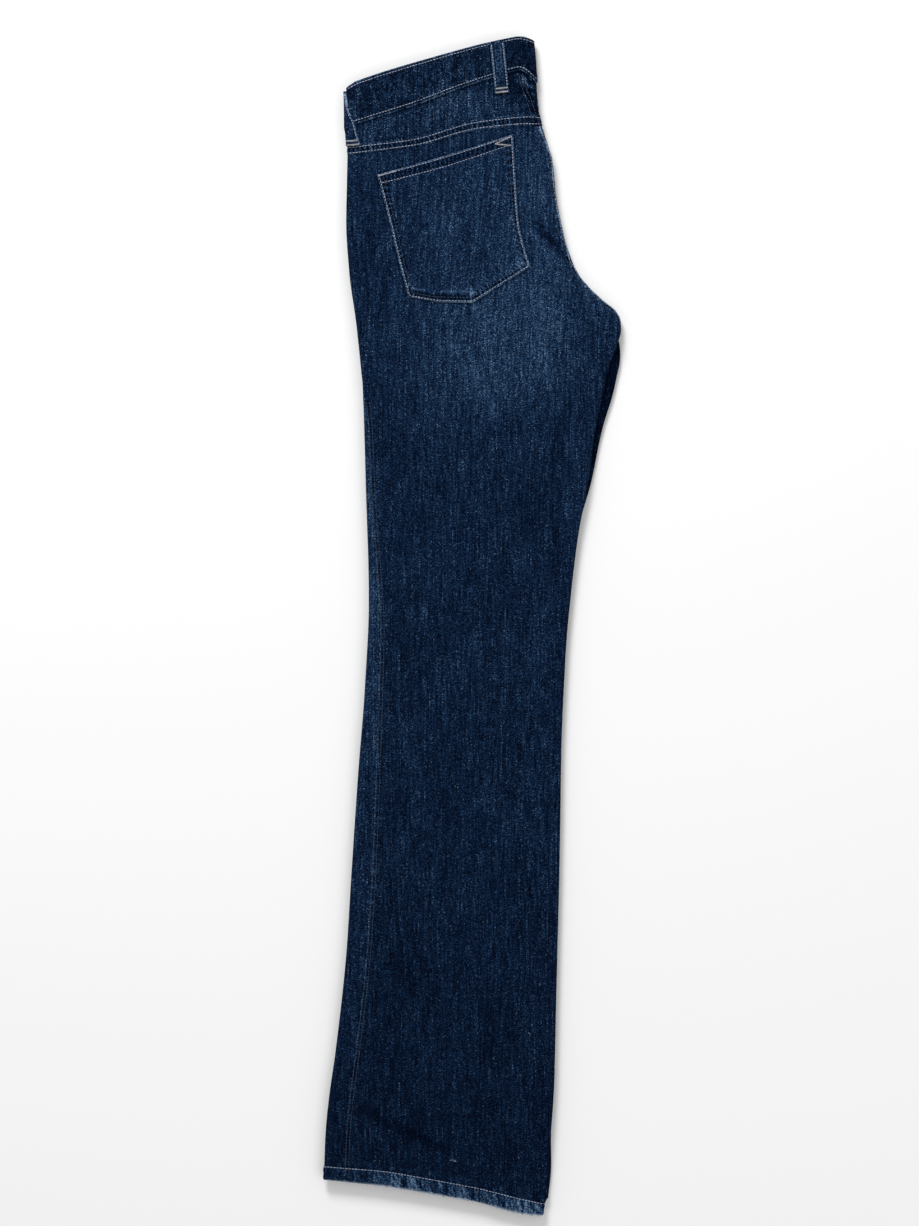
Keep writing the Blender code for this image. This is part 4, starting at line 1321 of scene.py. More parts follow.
def waistband_seams() -> list[Seam]:
    """Stitch lines of the waistband, just inside both its edges."""
    top, low = whole_line(WAIST_TOP - 3.0), whole_line(WAIST_SEAM + 3.0)
    return [
        Seam(top, pucker=0.25, half_width=3.4, wave=5.5, wear=0.14, seed=63),
        Seam(low, pucker=0.30, half_width=4.6, wave=5.0, wear=0.16, slant=0.3, seed=64),
    ]


def yoke_seams() -> list[Seam]:
    """The two rows that hold the felled yoke seam down."""
    rows = []
    for place, seed in ((YOKE_RIDGE - 1.8, 65), (YOKE_SEAM + 1.6, 66)):
        look = {"pucker": 0.12, "half_width": 3.0, "wave": 4.3, "groove": 0.3, "wear": 0.1}
        rows.append(Seam(whole_line(place), **look, seed=seed))
    return rows


def centre_back_seams() -> list[Seam]:
    """The crinkled centre back seam in the yoke, two rows."""
    rows = []
    for offset, seed in ((1.6, 67), (CENTRE_STITCH_OFFSET, 68)):
        points = line_along(WAIST_SEAM - 1.0, YOKE_SEAM, lambda s, o=offset: s.centre_back - o, 30)
        rows.append(
            Seam(points, pucker=0.6, half_width=3.2, wave=4.6, groove=0.25, wear=0.50, seed=seed)
        )
    return rows


@dataclass
class Pocket:
    """The patch pocket: five sides, a turned top hem and edges pressed under."""

    top: tuple = ((-92.5, 438.0), (-28.0, 456.0), (39.2, 477.1))
    right: tuple = ((39.2, 477.1), (41.7, 432.0), (44.6, 392.5), (50.9, 365.0), (55.9, 349.0))
    left: tuple = ((-92.5, 438.0), (-80.5, 392.5), (-71.8, 355.5), (-62.1, 319.6))
    bottom: tuple = ((-62.1, 319.6), (-34.4, 314.8), (0.0, 313.8), (55.9, 349.0))
    middle: tuple[float, float] = (-20.0, 395.0)
    width: float = 125.0
    height: float = 135.0
    weave_lean: float = 0.10
    hem: float = 10.2
    hem_row: float = 0.0706917
    rows: int = 110
    columns: int = 104
    row_places: int = 60
    row_end: float = 0.012
    rim_out: float = 0.004
    edge_inset: float = 1.5
    row_gap: float = 3.4

    def side(self, points: tuple, share: Array, smooth: bool = True) -> Array:
        """Places on one side at shares of its length."""
        flat = np.array(points)
        steps = np.hypot(*np.diff(flat, axis=0).T)
        lengths = np.concatenate([[0.0], np.cumsum(steps)]) / steps.sum()
        if not smooth:
            return np.stack([np.interp(share, lengths, flat[:, i]) for i in (0, 1)], axis=-1)
        curves = [Curve(list(zip(lengths, flat[:, i]))) for i in (0, 1)]
        return np.stack([curve(share) for curve in curves], axis=-1)

    def place(self, u: Array, v: Array) -> Array:
        """Places on the pocket, u from left to right and v from top to bottom."""
        u, v = np.broadcast_arrays(u, v)
        top, bottom = self.side(self.top, u), self.side(self.bottom, u, smooth=False)
        left, right = self.side(self.left, v), self.side(self.right, v)
        a, b, c, d = (np.array(p) for p in (self.top[0], self.top[-1], self.left[-1], self.right[-1]))
        u, v = u[..., None], v[..., None]
        corners = a * (1 - u) * (1 - v) + b * u * (1 - v) + c * (1 - u) * v + d * u * v
        return top * (1 - v) + bottom * v + left * (1 - u) + right * u - corners

    def on_top(self, flat: Array) -> Array:
        """Places on the leg's surface, with their height."""
        height = FORM.top_height(flat[..., 0], flat[..., 1]) + LAID_GAP + CLOTH
        return np.concatenate([flat, height[..., None]], axis=-1)

    def outline_row(self, inset: float) -> Array:
        """A row of stitching inside the left, bottom and right edges."""
        count = self.row_places
        side = np.linspace(0.0, 1.0, count)
        du, dv = inset / self.width, inset / self.height
        left = self.place(np.full(count, du), side * (1 - dv))
        bottom = self.place(du + side * (1 - 2 * du), np.full(count, 1 - dv))
        right = self.place(np.full(count, 1 - du), (1 - side) * (1 - dv))
        return self.on_top(np.concatenate([left, bottom[1:], right[1:]]))

    def rim(self) -> Array:
        """The pocket's outline, a little outside its edges."""
        low, high = -self.rim_out, 1.0 + self.rim_out
        share, level = np.linspace(low, high, self.row_places), np.ones(self.row_places)
        sides = (
            self.place(share, level * low), self.place(level * high, share),
            self.place(share[::-1], level * high), self.place(level * low, share[::-1]),
        )
        return self.on_top(np.concatenate(sides))

    def level_row(self, down: float) -> Array:
        """A row of stitching from side to side, at a share of the pocket's height."""
        share = np.linspace(self.row_end, 1.0 - self.row_end, self.row_places)
        return self.on_top(self.place(share, np.full(self.row_places, down)))

    def stitch_lines(self) -> list[Array]:
        """All rows of stitching on the pocket."""
        rows = [self.outline_row(self.edge_inset), self.outline_row(self.edge_inset + self.row_gap)]
        return rows + [self.level_row(self.hem_row), self.level_row(self.row_end)]

    def build(self, finishes: Finishes) -> Piece:
        """Build the pocket.

        Args:
            finishes: the materials.

        Returns:
            The pocket's shell.
        """
        u = (spread(0.0, self.width, self.columns) / self.width)[None, :]
        v = (spread(0.0, self.height, self.rows) / self.height)[:, None]
        flat = self.place(u, v)
        across = flat[..., 0] - (flat[..., 1] - self.middle[1]) * self.weave_lean
        cloth = np.stack([across + POCKET_WEAVE, flat[..., 1], np.zeros_like(across)], axis=-1)
        grid = SurfaceGrid(self.on_top(flat), np.tile(UP, (self.rows, self.columns, 1)), cloth, v)
        self.wear_down(grid, u * self.width, (1.0 - v) * self.height)
        self.draw_up(grid)
        for index, line in enumerate(self.stitch_lines()):
            seam = Seam(line, pucker=0.14, half_width=3.0, wave=5.0, wear=0.08, seed=83 + index)
            seam.press_into(grid)
        return finished("patch_pocket", grid, finishes.pocket, "back_pocket")

    def wear_down(self, grid: SurfaceGrid, from_left: Array, above: Array) -> None:
        """Scuff the turned bottom edge and the corners, and darken the strip inside it.

        Args:
            grid: the pocket's places.
            from_left, above: distances from its left side and from its bottom.
        """
        turned = 5.6 + 5.0 * ease((4.0 - grid.across) / 9.0)
        ragged = np.clip(0.75 + 0.6 * grid.noise(74, 2.4, 2.4), 0.0, 1.5)
        scuffs = 0.24 * bell((above - turned) / 0.9)
        for spot in POCKET_SCUFFS:
            beside = bell((from_left - spot.across) / spot.half_across)
            scuffs = scuffs + spot.amount * beside * bell((above - spot.along) / spot.half_along)
        grid.wear += scuffs * ragged
        under = ease((above - 2.4) / 1.0) * ease((turned - 0.9 - above) / 1.2) * (from_left > 5.0)
        grid.shade += 0.70 * under * (0.6 + 0.7 * grid.noise(76, 2.0, 2.0))
        mark = bell((grid.across + 1.2) / 0.8) * ease((331.0 - grid.along) / 3.0)
        grid.wear += 0.42 * mark

    def draw_up(self, grid: SurfaceGrid) -> None:
        """Turn the hem and the edges, and pucker the cloth between the rows of stitching, with painted
        shade in the puckers' hollows, along the strip between the rows and a little over the hem.
        """
        gap, down = edge_distance(grid), travelled(grid.points, 0)
        in_hem = ease((self.hem - down) / 1.2)
        grid.lift += POCKET_HEM_EXTRA * in_hem - 1.0 * bell(gap / 0.7)
        grid.lift += 0.25 * bell(gap / 7.0, 4)
        inner = bell((gap - 8.0) / 1.4) * (down > self.hem + 4.0)
        grid.wear += 0.05 * inner + 0.48 * bell(gap / 0.9)
        grid.wear += 0.10 * bell((down - self.hem - 0.4) / 0.7)
        turn = np.arctan2(grid.along - self.middle[1], grid.across - self.middle[0])
        ladder = rungs(turn * 75.0 + 0.4 * grid.across, 5.0, 79)
        away = 1.0 - 0.45 * ease((grid.across - 28.0) / 12.0)
        band = bell((gap - 4.9) / 2.6, 4) * (1.0 - in_hem) * away
        hem_ladder = rungs(grid.across, 4.4, 77) * in_hem * bell((down - 5.0) / 3.0, 4)
        grid.shade += band * (2.3 * held(1.8 * ladder) + 0.25)
        grid.wear += 0.20 * band * held(-1.8 * ladder)
        grid.shade += 1.7 * held(1.8 * hem_ladder) + 0.12 * in_hem
        grid.wear += 0.10 * held(-1.8 * hem_ladder)
        grid.lift -= 0.18 * (band * ladder + hem_ladder)
        grid.lift += 0.2 * grid.noise(81, 20.0, 30.0)
        grid.lift += 0.05 * grid.noise(82, 6.0, 12.0)


@dataclass
class BeltLoops:
    """The belt loop near the centre back and the one that wraps the left fold."""

    top: tuple = (23.4, 567.2)
    bottom: tuple = (28.8, 517.2)
    width: float = 13.6
    rows: int = 56
    columns: int = 22
    side_tuck: float = -2.6

    def shape(self, grid: SurfaceGrid, seed: int) -> None:
        """Round the folded edges, wear them lighter, and press the two rows of stitching with painted
        shade beside them.
        """
        count = grid.points.shape[1]
        side = np.abs(np.linspace(-1.0, 1.0, count))[None, :]
        grid.lift += LOOP_CLOTH - 0.9 * side**8
        grid.lift -= 0.25 * bell((side - 0.78) / 0.10)
        grid.lift += 0.15 * grid.noise(seed, 5.0, 6.0)
        grid.wear += 0.50 * bell((side - 0.97) / 0.08)
        grid.shade += 0.80 * bell((side - 0.70) / 0.09)

    def near_centre(self) -> SurfaceGrid:
        """Grid of the loop near the centre back, from its top to its tack."""
        start, end = np.array(self.top), np.array(self.bottom)
        run = end - start
        sideways = np.array([-run[1], run[0]]) / np.linalg.norm(run) * self.width / 2.0
        share = np.linspace(0.0, 1.0, self.rows)[:, None, None]
        side = np.linspace(-1.0, 1.0, self.columns)[None, :, None]
        flat = start + run * share + sideways * side
        step = ease((share[..., 0] - 0.74) / 0.16)
        height = FORM.top_height(flat[..., 0], flat[..., 1]) + LAID_GAP + WAISTBAND_EXTRA * (1.0 - step)
        points = np.concatenate([flat, height[..., None]], axis=-1)
        return self.with_cloth(points, np.tile(UP, (self.rows, self.columns, 1)))

    def at_side(self) -> SurfaceGrid:
        """Grid of the loop that wraps the left fold."""
        points, ways = [], []
        for place in np.linspace(SIDE_LOOP[-1].along, SIDE_LOOP[0].along, self.rows):
            section = Section(float(place))
            step = ease((WAIST_SEAM - 1.2 - place) / 8.0)
            lift = 0.6 + WAISTBAND_EXTRA * (1.0 - step)
            right = float(FORM.side_loop(place))
            left = max(right - self.width, self.side_tuck)
            row, way = section.place(np.linspace(left, right, self.columns))
            points.append(row + way * lift)
            ways.append(way)
        return self.with_cloth(np.array(points), np.array(ways))

    def with_cloth(self, points: Array, ways: Array) -> SurfaceGrid:
        """Lay the weave along the loop."""
        cloth = points.copy()
        cloth[..., 2] = 0.0
        cloth[..., 0] += LOOP_WEAVE
        return SurfaceGrid(points, ways, cloth, np.linspace(0.0, 1.0, len(points))[:, None])

    def build(self, finishes: Finishes) -> list[Piece]:
        """Build both loops."""
        made = []
        for name, node, grid, seed in (
            ("centre_back_loop", "belt_loop_back", self.near_centre(), 91),
            ("side_loop", "belt_loop_side", self.at_side(), 92),
        ):
            self.shape(grid, seed)
            item = cloth_shell(name, grid, depth=0.1, lip_width=0.3)
            dress(item, finishes.loop, Slot.TRIM, node)
            declare_sheet(grid, turned=1.2)
            made.append(item)
        return made

    def rim(self) -> Array:
        """The outline of the loop near the centre back, for the painted shadow beside it."""
        points = self.near_centre().points
        line = np.concatenate([points[:, 0], points[-1], points[::-1, -1]])
        middle = points.reshape(-1, 3).mean(axis=0)
        return line + np.sign(line - middle) * np.array([0.5, 0.0, 0.0])

    def stitch_lines(self) -> list[Array]:
        """The two rows on each loop."""
        lines = []
        for grid in (self.near_centre(), self.at_side()):
            last = grid.points.shape[1] - 1
            for share in (0.10, 0.90):
                column = round(share * last)
                lines.append(grid.points[2:-5, column] + grid.ways[2:-5, column] * LOOP_CLOTH)
        return lines

    def tack_lines(self) -> list[Array]:
        """Bars of close stitching across the foot of each loop."""
        lines = []
        for grid in (self.near_centre(), self.at_side()):
            for row in (-2, -6):
                lines.append(grid.points[row, 1:-1] + grid.ways[row, 1:-1] * LOOP_CLOTH)
        return lines


@dataclass
class UnderLeg:
    """The hidden layers: the other leg's folds below, its flat underside and the ply ends."""

    step_along: float = 4.0
    columns: int = 46
    lobe: int = 9
    depth: float = CLOTH + SEAM_GAP
    groove: float = 1.2
    seat_lip: float = 0.45
    seat_lip_inset: float = 4.0
    hem_left: float = 5.0
    hem_right: float = 15.0
    hem_fade: float = 170.0
    waist_inset: float = 2.5
    waist_fade: float = 40.0
    end_inset: float = 1.6

    def upper(self, section: Section) -> Array:
        """Places on the upper face, under the top leg's cloth."""
        right = section.right_end
        if not section.above_crotch:
            right = section.total + INNER_TUCK_DEGREES / 90.0 * section.right.quarter
        edge = np.array([0.0, 1.6, 3.2, 4.8, 6.6, 9.0, 12.0, 16.0, 21.0])
        middle = np.linspace(section.left_end + 28.0, right - 28.0, self.columns - 2 * len(edge))
        distances = np.concatenate([section.left_end + edge, middle, (right - edge)[::-1]])
        points, ways = section.place(distances)
        return points - ways * self.depth

    def end_shift(self, place: float, right: Number) -> Number:
        """How far the under leg's ends sit back, along Y."""
        hem_share = ease(1.0 - (place - HEM_EDGE) / self.hem_fade)
        waist_share = ease(1.0 - (WAIST_TOP - place) / self.waist_fade)
        hem = self.hem_left + (self.hem_right - self.hem_left) * right
        return hem * hem_share - self.waist_inset * waist_share

    def lower_lobe(self, section: Section, side: float) -> Array:
        """The groove and the under leg's fold, from the groove down to the floor."""
        fold = section.left if side < 0 else section.right
        leg = FORM.thickness(fold.edge[1]) / 4.0 - 0.15
        if side < 0:
            half, inset = leg, -0.5
        else:
            half = leg + (self.seat_lip - leg) * section.single_fold
            peek = FORM.under_peek(fold.edge[1])
            inset = peek + (-self.seat_lip_inset - peek) * section.single_fold
        shift = self.end_shift(section.left_along, 1.0 if side > 0 else 0.0)
        wobble = 0.5 * SoftNoise(101, 26.0, 1000.0)(fold.edge[1] + 400.0 * side, 0.0)
        edge = fold.edge + np.array([side * (inset + float(wobble) * 0.6), shift, 0.0])
        angle = np.radians(np.linspace(TUCK_DEGREES, -90.0, self.lobe))
        points = edge - fold.outward * (half * FOLD_REACH * (1.0 - np.cos(angle)))[:, None]
        points[:, 2] = half * (1.0 + np.sin(angle))
        groove = fold.edge - fold.outward * (fold.reach + self.groove)
        groove[1] += shift * 0.5
        tucked = fold.centre[2] - fold.half_height * math.sin(math.radians(TUCK_DEGREES))
        groove[2] = (tucked + 2.0 * half) / 2.0
        return np.concatenate([groove[None], points])

    def ring(self, section: Section) -> tuple[Array, Array]:
        """Upper and lower places of one section, from left to right."""
        upper = self.upper(section)
        left, right = self.lower_lobe(section, -1.0), self.lower_lobe(section, 1.0)
        count = self.columns - 2 * self.lobe
        share = np.linspace(0.0, 1.0, count + 2)[1:-1]
        floor = left[-1] + (right[-1] - left[-1]) * share[:, None]
        return upper, np.concatenate([left[1:], floor, right[:0:-1]])

    def ply_end(self, upper: Array, lower: Array, inward: float, seed: int) -> Array:
        """Levels down a cut end: three plies with slits between them."""
        count = len(upper)
        side = np.minimum(np.arange(count), np.arange(count)[::-1])
        fade = held(side / 5.0)
        levels = []
        line, still = upper[:, 0], 0.0 * upper[:, 0]
        for index, (share, under, slit) in enumerate(PLY_LEVELS):
            level = upper + (lower - upper) * under
            wave = SoftNoise(seed + index // 4, 24.0, 1000.0)(line, still)
            level[:, 2] = lower[:, 2] + (upper[:, 2] - lower[:, 2]) * (share + 0.02 * wave * fade)
            ragged = 0.8 * SoftNoise(seed + 7 + index // 4, 5.0, 1000.0)(line, still)
            level[:, 1] += inward * (slit * fade + ragged * (slit < 3.0))
            levels.append(level)
        return np.array(levels)

    def long_faces(self, upper: list, lower: list, grooves: dict) -> list[tuple[int, ...]]:
        """Faces between the sections: the upper and lower sides and the grooves at both edges."""
        faces = []
        last = self.columns - 1
        for i in range(len(upper) - 1):
            for j in range(last):
                faces.append((upper[i][j], upper[i + 1][j], upper[i + 1][j + 1], upper[i][j + 1]))
                faces.append((lower[i][j], lower[i][j + 1], lower[i + 1][j + 1], lower[i + 1][j]))
            for edge, groove, turn in ((0, grooves[-1.0], 1), (last, grooves[1.0], -1)):
                here, there = ((upper[k][edge], groove[k], lower[k][edge]) for k in (i, i + 1))
                for k in (0, 1):
                    faces.append((here[k], here[k + 1], there[k + 1], there[k])[::turn])
        return faces

    def close_end(
        self, points: list, rims: tuple, corners: tuple, inward: float, seed: int
    ) -> list[tuple[int, ...]]:
        """Close a cut end with its plies; their places are added to the points.

        Args:
            points: every place so far.
            rims: numbers of its upper and lower places.
            corners: numbers of the grooves' places at its left and right.
            inward: 1 where the jeans run towards +Y from it, or else -1.
            seed: which unevenness.
        """
        top, low = (np.array(points)[rim] for rim in rims)
        table = [rims[0]]
        for level in self.ply_end(top, low, inward, seed):
            numbers = np.arange(self.columns) + len(points)
            points.extend(level)
            numbers[0], numbers[-1] = corners
            table.append(numbers)
        table.append(rims[1])
        faces = []
        for a, b in zip(table, table[1:]):
            for j in range(self.columns - 1):
                face = [a[j], a[j + 1], b[j + 1], b[j]]
                if inward > 0:
                    face.reverse()
                kept = tuple(dict.fromkeys(int(c) for c in face))
                if len(kept) > 2:
                    faces.append(kept)
        return faces

    def build(self, finishes: Finishes) -> Piece:
        """Build the hidden layers as one closed mesh.

        Args:
            finishes: the materials.

        Returns:
            The closed, layered mesh.
        """
        rows = round((WAIST_TOP - HEM_EDGE) / self.step_along)
        ends = (WAIST_TOP - self.end_inset, HEM_EDGE + self.end_inset)
        sections = [Section(float(at)) for at in np.linspace(*ends, rows + 1)]
        rings = [self.ring(section) for section in sections]
        shifts = [self.end_shift(s.left_along, np.linspace(0, 1, self.columns)) for s in sections]
        flat = slice(self.lobe, self.columns - self.lobe)
        for (top, low), shift in zip(rings, shifts):
            low[flat] = top[flat]
            low[flat, 1] += shift[flat]
            low[flat, 2] = 0.0
        points: list[Array] = []
        upper, lower = [], []
        for top, low in rings:
            for places, store in ((top, upper), (low, lower)):
                store.append(np.arange(self.columns) + len(points))
                points.extend(places)
        grooves: dict[float, list[int]] = {-1.0: [], 1.0: []}
        for section in sections:
            for side, numbers in grooves.items():
                numbers.append(len(points))
                points.append(self.lower_lobe(section, side)[0])
        faces = self.long_faces(upper, lower, grooves)
        ring_count = len(points)
        for end, inward, seed in ((0, -1.0, 110), (rows, 1.0, 130)):
            corners = (grooves[-1.0][end], grooves[1.0][end])
            faces += self.close_end(points, (upper[end], lower[end]), corners, inward, seed)
        used = sorted({int(v) for face in faces for v in face})
        number = {old: new for new, old in enumerate(used)}
        places = np.array(points)[used]
        faces = [tuple(number[int(v)] for v in face) for face in faces]
        on_end = np.array(used) >= ring_count
        across, along, height = places.T
        near_hem = bell((along - hem_line(across) - 14.0) / 16.0)
        weave = [across + UNDER_WEAVE + height * ~on_end, along + height * on_end, 0.0 * along]
        values = {
            "fade": fade_and_painted_shade_at(across, along),
            "wear": 0.14 * near_hem + 0.06 * bell((along - WAIST_PEAK) / 40.0),
            # The under leg's right side above the knee, which shows beside the top leg's inseam, gets
            # painted shade
            "shade": 0.9 * ease((across - 60.0) / 15.0) * ease((along - 20.0) / 60.0),
            "cloth": np.stack(weave, axis=1),
        }
        item = mesh_object("under_leg", places, faces, values, smooth_angle=60.0)
        dress(item, finishes.under, Slot.INNER, "hidden_layers")
        return item


def hem_line(across: Array) -> Array:
    """Where the top leg's hem edge lies along, at places across."""
    hem = LINES[0]
    share = (across - LEFT_EDGE[0].value) / HEM_WIDTH
    return hem.left_along + (hem.right_along - hem.left_along) * share


def tree_of(*items: Piece) -> BVHTree:
    """One search tree over the outer faces of several pieces."""
    points, faces = [], []
    for item in items:
        start = len(points)
        points.extend(vertex.co.copy() for vertex in item.data.vertices)
        faces.extend([start + corner for corner in face.vertices] for face in item.data.polygons)
    return BVHTree.FromPolygons(points, faces)


def nearest(tree: BVHTree, point: Array) -> tuple[Array, Array]:
    """The place on the cloth nearest to a point, in millimetres, and the way it faces."""
    hit, normal, _, _ = tree.find_nearest(Vector(point * MM))
    return np.array(hit) / MM, np.array(normal)


@dataclass
class Stitching:
    """Rows of thread on the cloth, as joined meshes of single stitches."""

    pitch: float = 3.0
    length: float = 2.45
    bar_pitch: float = 0.62
    radius: float = 0.33
    sides: int = 6

    def template(self, radius: float) -> tuple[Array, list]:
        """One stitch of unit length along X with its ends pulled down: points and faces."""
        stations = ((-0.5, 0.35, -0.30), (-0.42, 0.8, -0.02), (-0.16, 1.0, 0.16))
        stations += ((0.16, 1.0, 0.16), (0.42, 0.8, -0.02), (0.5, 0.35, -0.30))
        angle = np.arange(self.sides) / self.sides * 2.0 * math.pi
        rings = []
        for share, size, lift in stations:
            ring = np.zeros((self.sides, 3))
            ring[:, 0] = share
            ring[:, 1] = np.cos(angle) * size * radius
            ring[:, 2] = np.sin(angle) * size * radius * 0.85 + lift
            rings.append(ring)
        faces = []
        for i in range(len(stations) - 1):
            for j in range(self.sides):
                k = (j + 1) % self.sides
                a, b = i * self.sides, (i + 1) * self.sides
                faces.append((a + j, b + j, b + k, a + k))
        last = (len(stations) - 1) * self.sides
        faces.append(tuple(range(self.sides)))
        faces.append(tuple(last + j for j in reversed(range(self.sides))))
        return np.concatenate(rings), faces

    def run(self, line: Array, tree: BVHTree, seed: int) -> list[tuple]:
        """Ends and surface normal of each stitch in a row that follows the cloth."""
        random = np.random.default_rng(seed)
        line = resampled(line, 0.5)
        gaps = np.linalg.norm(np.diff(line, axis=0), axis=1)
        total = float(gaps.sum())
        lengths = np.concatenate([[0.0], np.cumsum(gaps)])
        stitches = []
        for start in np.arange(0.5, total - self.length, self.pitch):
            start = start + random.uniform(-0.12, 0.12)
            ends = []
            for at in (start, start + self.length * random.uniform(0.94, 1.04)):
                point = np.array([np.interp(at, lengths, line[:, axis]) for axis in range(3)])
                ends.append(nearest(tree, point))
            stitches.append((ends[0][0], ends[1][0], ends[0][1] + ends[1][1]))
        return stitches

    def bar(self, line: Array, tree: BVHTree, width: float) -> list[tuple]:
        """Close zigzag stitches that fill a bar along a line."""
        line = resampled(line, self.bar_pitch)
        stitches = []
        for before, here, after in zip(line, line[1:], line[2:]):
            run = after - before
            run = run / np.linalg.norm(run)
            hit, normal = nearest(tree, here)
            reach = np.cross(UP, run) * width / 2.0
            stitches.append((hit - reach - run * 0.2, hit + reach + run * 0.2, normal))
        return stitches

    def mesh(self, name: str, stitches: list[tuple], radius: float) -> Piece:
        """Join all the stitches into one object."""
        template, faces = self.template(radius)
        points, all_faces = [], []
        for index, (start, end, normal) in enumerate(stitches):
            run = end - start
            length = np.linalg.norm(run)
            run = run / length
            normal = normal - run * np.dot(normal, run)
            normal = normal / np.linalg.norm(normal)
            side = np.cross(normal, run)
            local = template * np.array([length, 1.0, 1.0])
            middle = (start + end) / 2.0
            points.append(middle + local @ np.stack([run, side, normal]))
            offset = index * len(template)
            all_faces.extend(tuple(offset + corner for corner in face) for face in faces)
        return mesh_object(name, np.concatenate(points), all_faces, {}, smooth_angle=70.0)


@dataclass
class Sewing:
    """All the thread that shows: topstitching, bar tacks and the worn weft at the hem."""

    pocket: Pocket
    loops: BeltLoops
    stitching: Stitching = field(default_factory=Stitching)
    tonal_radius: float = 0.27
    tack_radius: float = 0.24
    fray_radius: float = 0.15
    fray_step: float = 0.0019
    loop_tack: float = 1.9
    pocket_tack: float = 1.5

    def top_rows(self) -> list[Array]:
        """Pale rows on the waistband, the yoke and the hem."""
        rows = [seam.points for seam in waistband_seams() + yoke_seams()]
        rows.append(whole_line(HEM_STITCH - 0.6))
        rows.append(line_along(YOKE_SEAM - 2.0, CENTRE_STITCH_FOOT, lambda s: s.centre_back - 2.0))
        return rows

    def tonal_rows(self) -> list[Array]:
        """Rows in thread near the denim's own colour, down the side and the centre back."""
        rows = [seam.points for seam in centre_back_seams()]
        for offset in SIDE_STITCH_OFFSETS:
            rows.append(
                line_along(SIDE_STITCH_TOP, HEM_EDGE + 1.0, lambda s, o=offset: s.seam + o, 200)
            )
        rows.append(
            line_along(
                YOKE_SEAM - 2.0, CENTRE_STITCH_FOOT, lambda s: s.centre_back - CENTRE_STITCH_OFFSET
            )
        )
        return rows

    def build(self, finishes: Finishes, pieces: dict[str, Piece]) -> None:
        """Lay every row on the finished cloth.

        Args:
            finishes: the materials.
            pieces: the cloth pieces by name.
        """
        cloth = [pieces[key] for key in ("back", "front", "far", "yoke", "far_yoke", "band")]
        ground = tree_of(*cloth)
        pocket_tree, loop_tree = tree_of(pieces["pocket"]), tree_of(pieces["loop"], pieces["side_loop"])
        stitches: list[tuple] = []
        tonal: list[tuple] = []
        tacks: list[tuple] = []
        for rows, tree, seed, kind in (
            (self.top_rows(), ground, 200, stitches),
            (self.tonal_rows(), ground, 220, tonal),
            (self.pocket.stitch_lines(), pocket_tree, 240, stitches),
            (self.loops.stitch_lines(), loop_tree, 260, stitches),
        ):
            for index, row in enumerate(rows):
                inner_row = tree is pocket_tree and index == 1
                chosen = tonal if inner_row else kind
                chosen += self.stitching.run(row, tree, seed + index)
        for lines, tree, width in (
            (self.loops.tack_lines(), loop_tree, self.loop_tack),
            (self.pocket_tacks(), pocket_tree, self.pocket_tack),
        ):
            for line in lines:
                tacks += self.stitching.bar(line, tree, width)
        for name, runs, radius, finish in (
            ("topstitching", stitches, self.stitching.radius, finishes.thread),
            ("tonal_stitching", tonal, self.tonal_radius, finishes.tonal),
            ("bar_tacks", tacks, self.tack_radius, finishes.tack),
            ("hem_fray", self.fray(ground), self.fray_radius, finishes.fibre),
        ):
            dress(self.stitching.mesh(name, runs, radius), finish, Slot.TRIM)

    def pocket_tacks(self) -> list[Array]:
        """Bars at both top corners of the pocket."""
        lines = []
        share = np.linspace(0.0, 1.0, 20)[:, None]
        for tack in POCKET_TACKS:
            start, end = np.array(tack[:2]), np.array(tack[2:])
            flat = start + (end - start) * share
            lines.append(self.pocket.on_top(flat))
        return lines

    def fray(self, ground: BVHTree) -> list[tuple]:
        """Short loose ends of weft along the worn hem edge."""
        random = np.random.default_rng(300)
        edge = resampled(line_across(HEM_EDGE + 0.8, lambda s: 0.0, lambda s: s.total), 0.5)
        ends = []
        for start, stop, density in FRAYED:
            for share in np.arange(start, stop, self.fray_step):
                if random.uniform() > density:
                    continue
                root, _ = nearest(ground, edge[int(share * (len(edge) - 1))])
                lean = random.normal(0.0, 0.6)
                length = random.uniform(0.6, 2.4)
                tip = root + np.array([lean, -length, random.uniform(-0.9, 0.3)])
                ends.append((root + np.array([0.0, 0.8, 0.1]), tip, UP))
        for fibre in LINT:
            start, _ = nearest(ground, np.array([fibre.from_across, fibre.from_along, 12.0]))
            tip, _ = nearest(ground, np.array([fibre.to_across, fibre.to_along, 12.0]))
            ends.append((start, tip, UP))
        return ends


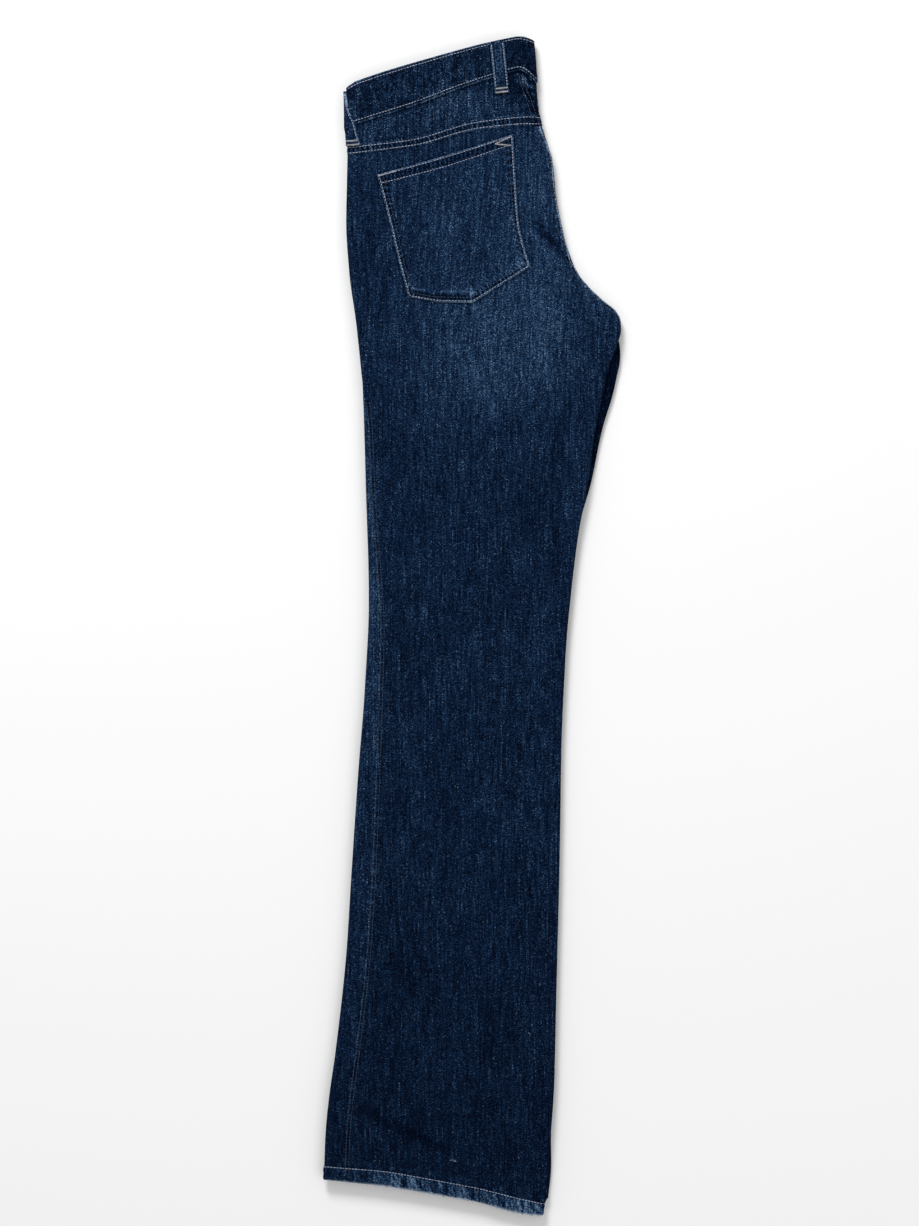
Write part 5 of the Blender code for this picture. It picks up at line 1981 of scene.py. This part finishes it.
class Underside:
    """Stitching of the lowest ply, the right back leg, on the flat underside."""

    left, width = -130.0, 200.0
    waist_rise, hem_drop = 44.0, 34.0
    clear, radius, lowest = 0.12, 0.2, -0.00012

    def __init__(self, sewing: Sewing, legs: UnderLeg) -> None:
        """Args:
            sewing: the rows of the top side, which the other half mirrors.
            legs: the hidden layers, whose ends sit back.
        """
        self.sewing, self.legs = sewing, legs

    def set_back(self, row: Array) -> Array:
        """A row moved with the lowest ply's ends, flat on the underside."""
        flat = row * np.array([1.0, 1.0, 0.0])
        share = (flat[:, 0] - self.left) / self.width
        place = flat[:, 1] + share * np.where(flat[:, 1] > 0.0, -self.waist_rise, self.hem_drop)
        flat[:, 1] += self.legs.end_shift(place, share)
        return flat

    def build(self, finishes: Finishes, under: Piece) -> None:
        """Lay the mirrored rows just inside the underside."""
        tree = tree_of(under)
        rows = self.sewing.top_rows() + self.sewing.tonal_rows() + self.sewing.pocket.stitch_lines()
        stitching = Stitching(sides=5)
        stitches = []
        for index, row in enumerate(rows):
            for start, end, _ in stitching.run(self.set_back(row), tree, 320 + index):
                if max(start[2], end[2]) < 0.05:
                    lift = UP * self.clear
                    stitches.append((start + lift, end + lift, -UP))
        item = stitching.mesh("underside_stitching", stitches, self.radius)
        for vertex in item.data.vertices:
            vertex.co.z = max(vertex.co.z, self.lowest)
        dress(item, finishes.thread, Slot.TRIM)


@dataclass
class Studio:
    """Pale floor, soft lights and the camera straight above, as the photograph has it."""

    frame_height: float = 1226 * 0.97 * MM
    centre: tuple[float, float] = (-0.0127, 0.0131)
    distance: float = 4.0
    focus_height: float = 0.014
    sensor: float = 36.0
    floor_reach: float = 6.0
    floor_level: float = -0.0004
    sky: float = 0.50

    def camera(self) -> None:
        """A long lens looking straight down."""
        data = bpy.data.cameras.new("camera")
        data.type = "PERSP"
        data.sensor_width = self.sensor
        data.lens = self.sensor * (self.distance - self.focus_height) / self.frame_height
        data.clip_end = 50.0
        item = placed("camera", data)
        item.location = (self.centre[0], self.centre[1], self.distance)
        bpy.context.scene.camera = item

    def floor(self) -> None:
        """A wide pale floor."""
        mesh = bpy.data.meshes.new("floor")
        reach, level = self.floor_reach, self.floor_level
        corners = [(-reach, -reach, level), (reach, -reach, level)]
        corners += [(reach, reach, level), (-reach, reach, level)]
        mesh.from_pydata(corners, [], [(0, 1, 2, 3)])
        mesh.materials.append(FloorFinish().build())
        item = placed("floor", mesh)

    def light(self, name: str, place: tuple, size: float, power: float) -> None:
        """One square soft light aimed at the middle of the jeans."""
        data = bpy.data.lights.new(name, "AREA")
        data.shape = "SQUARE"
        data.size = size
        data.energy = power
        item = placed(name, data)
        item.location = place
        item.rotation_euler = (-Vector(place)).to_track_quat("-Z", "Y").to_euler()

    def build(self) -> None:
        """Set up the floor, the lights and the camera."""
        self.camera()
        self.floor()
        self.light("key", (-0.9, 2.8, 2.2), 1.2, 95.0)
        self.light("fill", (1.8, -1.4, 2.8), 2.4, 20.0)
        world = bpy.data.worlds.new("studio")
        world.use_nodes = True
        background = world.node_tree.nodes["Background"]
        background.inputs["Color"].default_value = (1.0, 1.0, 1.0, 1.0)
        background.inputs["Strength"].default_value = self.sky
        bpy.context.scene.world = world
        bpy.context.scene.view_settings.view_transform = "Standard"


def main() -> None:
    """Build every piece in order, from the bottom layer up."""
    logging.basicConfig(level=logging.INFO, format="%(name)s: %(message)s")
    Studio().build()
    finishes = Finishes()
    legs = UnderLeg()
    under = legs.build(finishes)
    back, front, far = Legs().build(finishes)
    waist = Waist()
    yoke, far_yoke = waist.yoke(finishes)
    band = waist.band(finishes)
    pocket = Pocket()
    pocket_item = pocket.build(finishes)
    loops = BeltLoops()
    loop_item, side_loop_item = loops.build(finishes)
    pieces = {
        "back": back, "front": front, "far": far, "yoke": yoke, "far_yoke": far_yoke,
        "band": band, "pocket": pocket_item, "loop": loop_item, "side_loop": side_loop_item,
    }
    sewing = Sewing(pocket, loops)
    sewing.build(finishes, pieces)
    Underside(sewing, legs).build(finishes, under)
    log.info("built %d pieces", len(pieces) + 4)


if __name__ == "__main__":
    main()
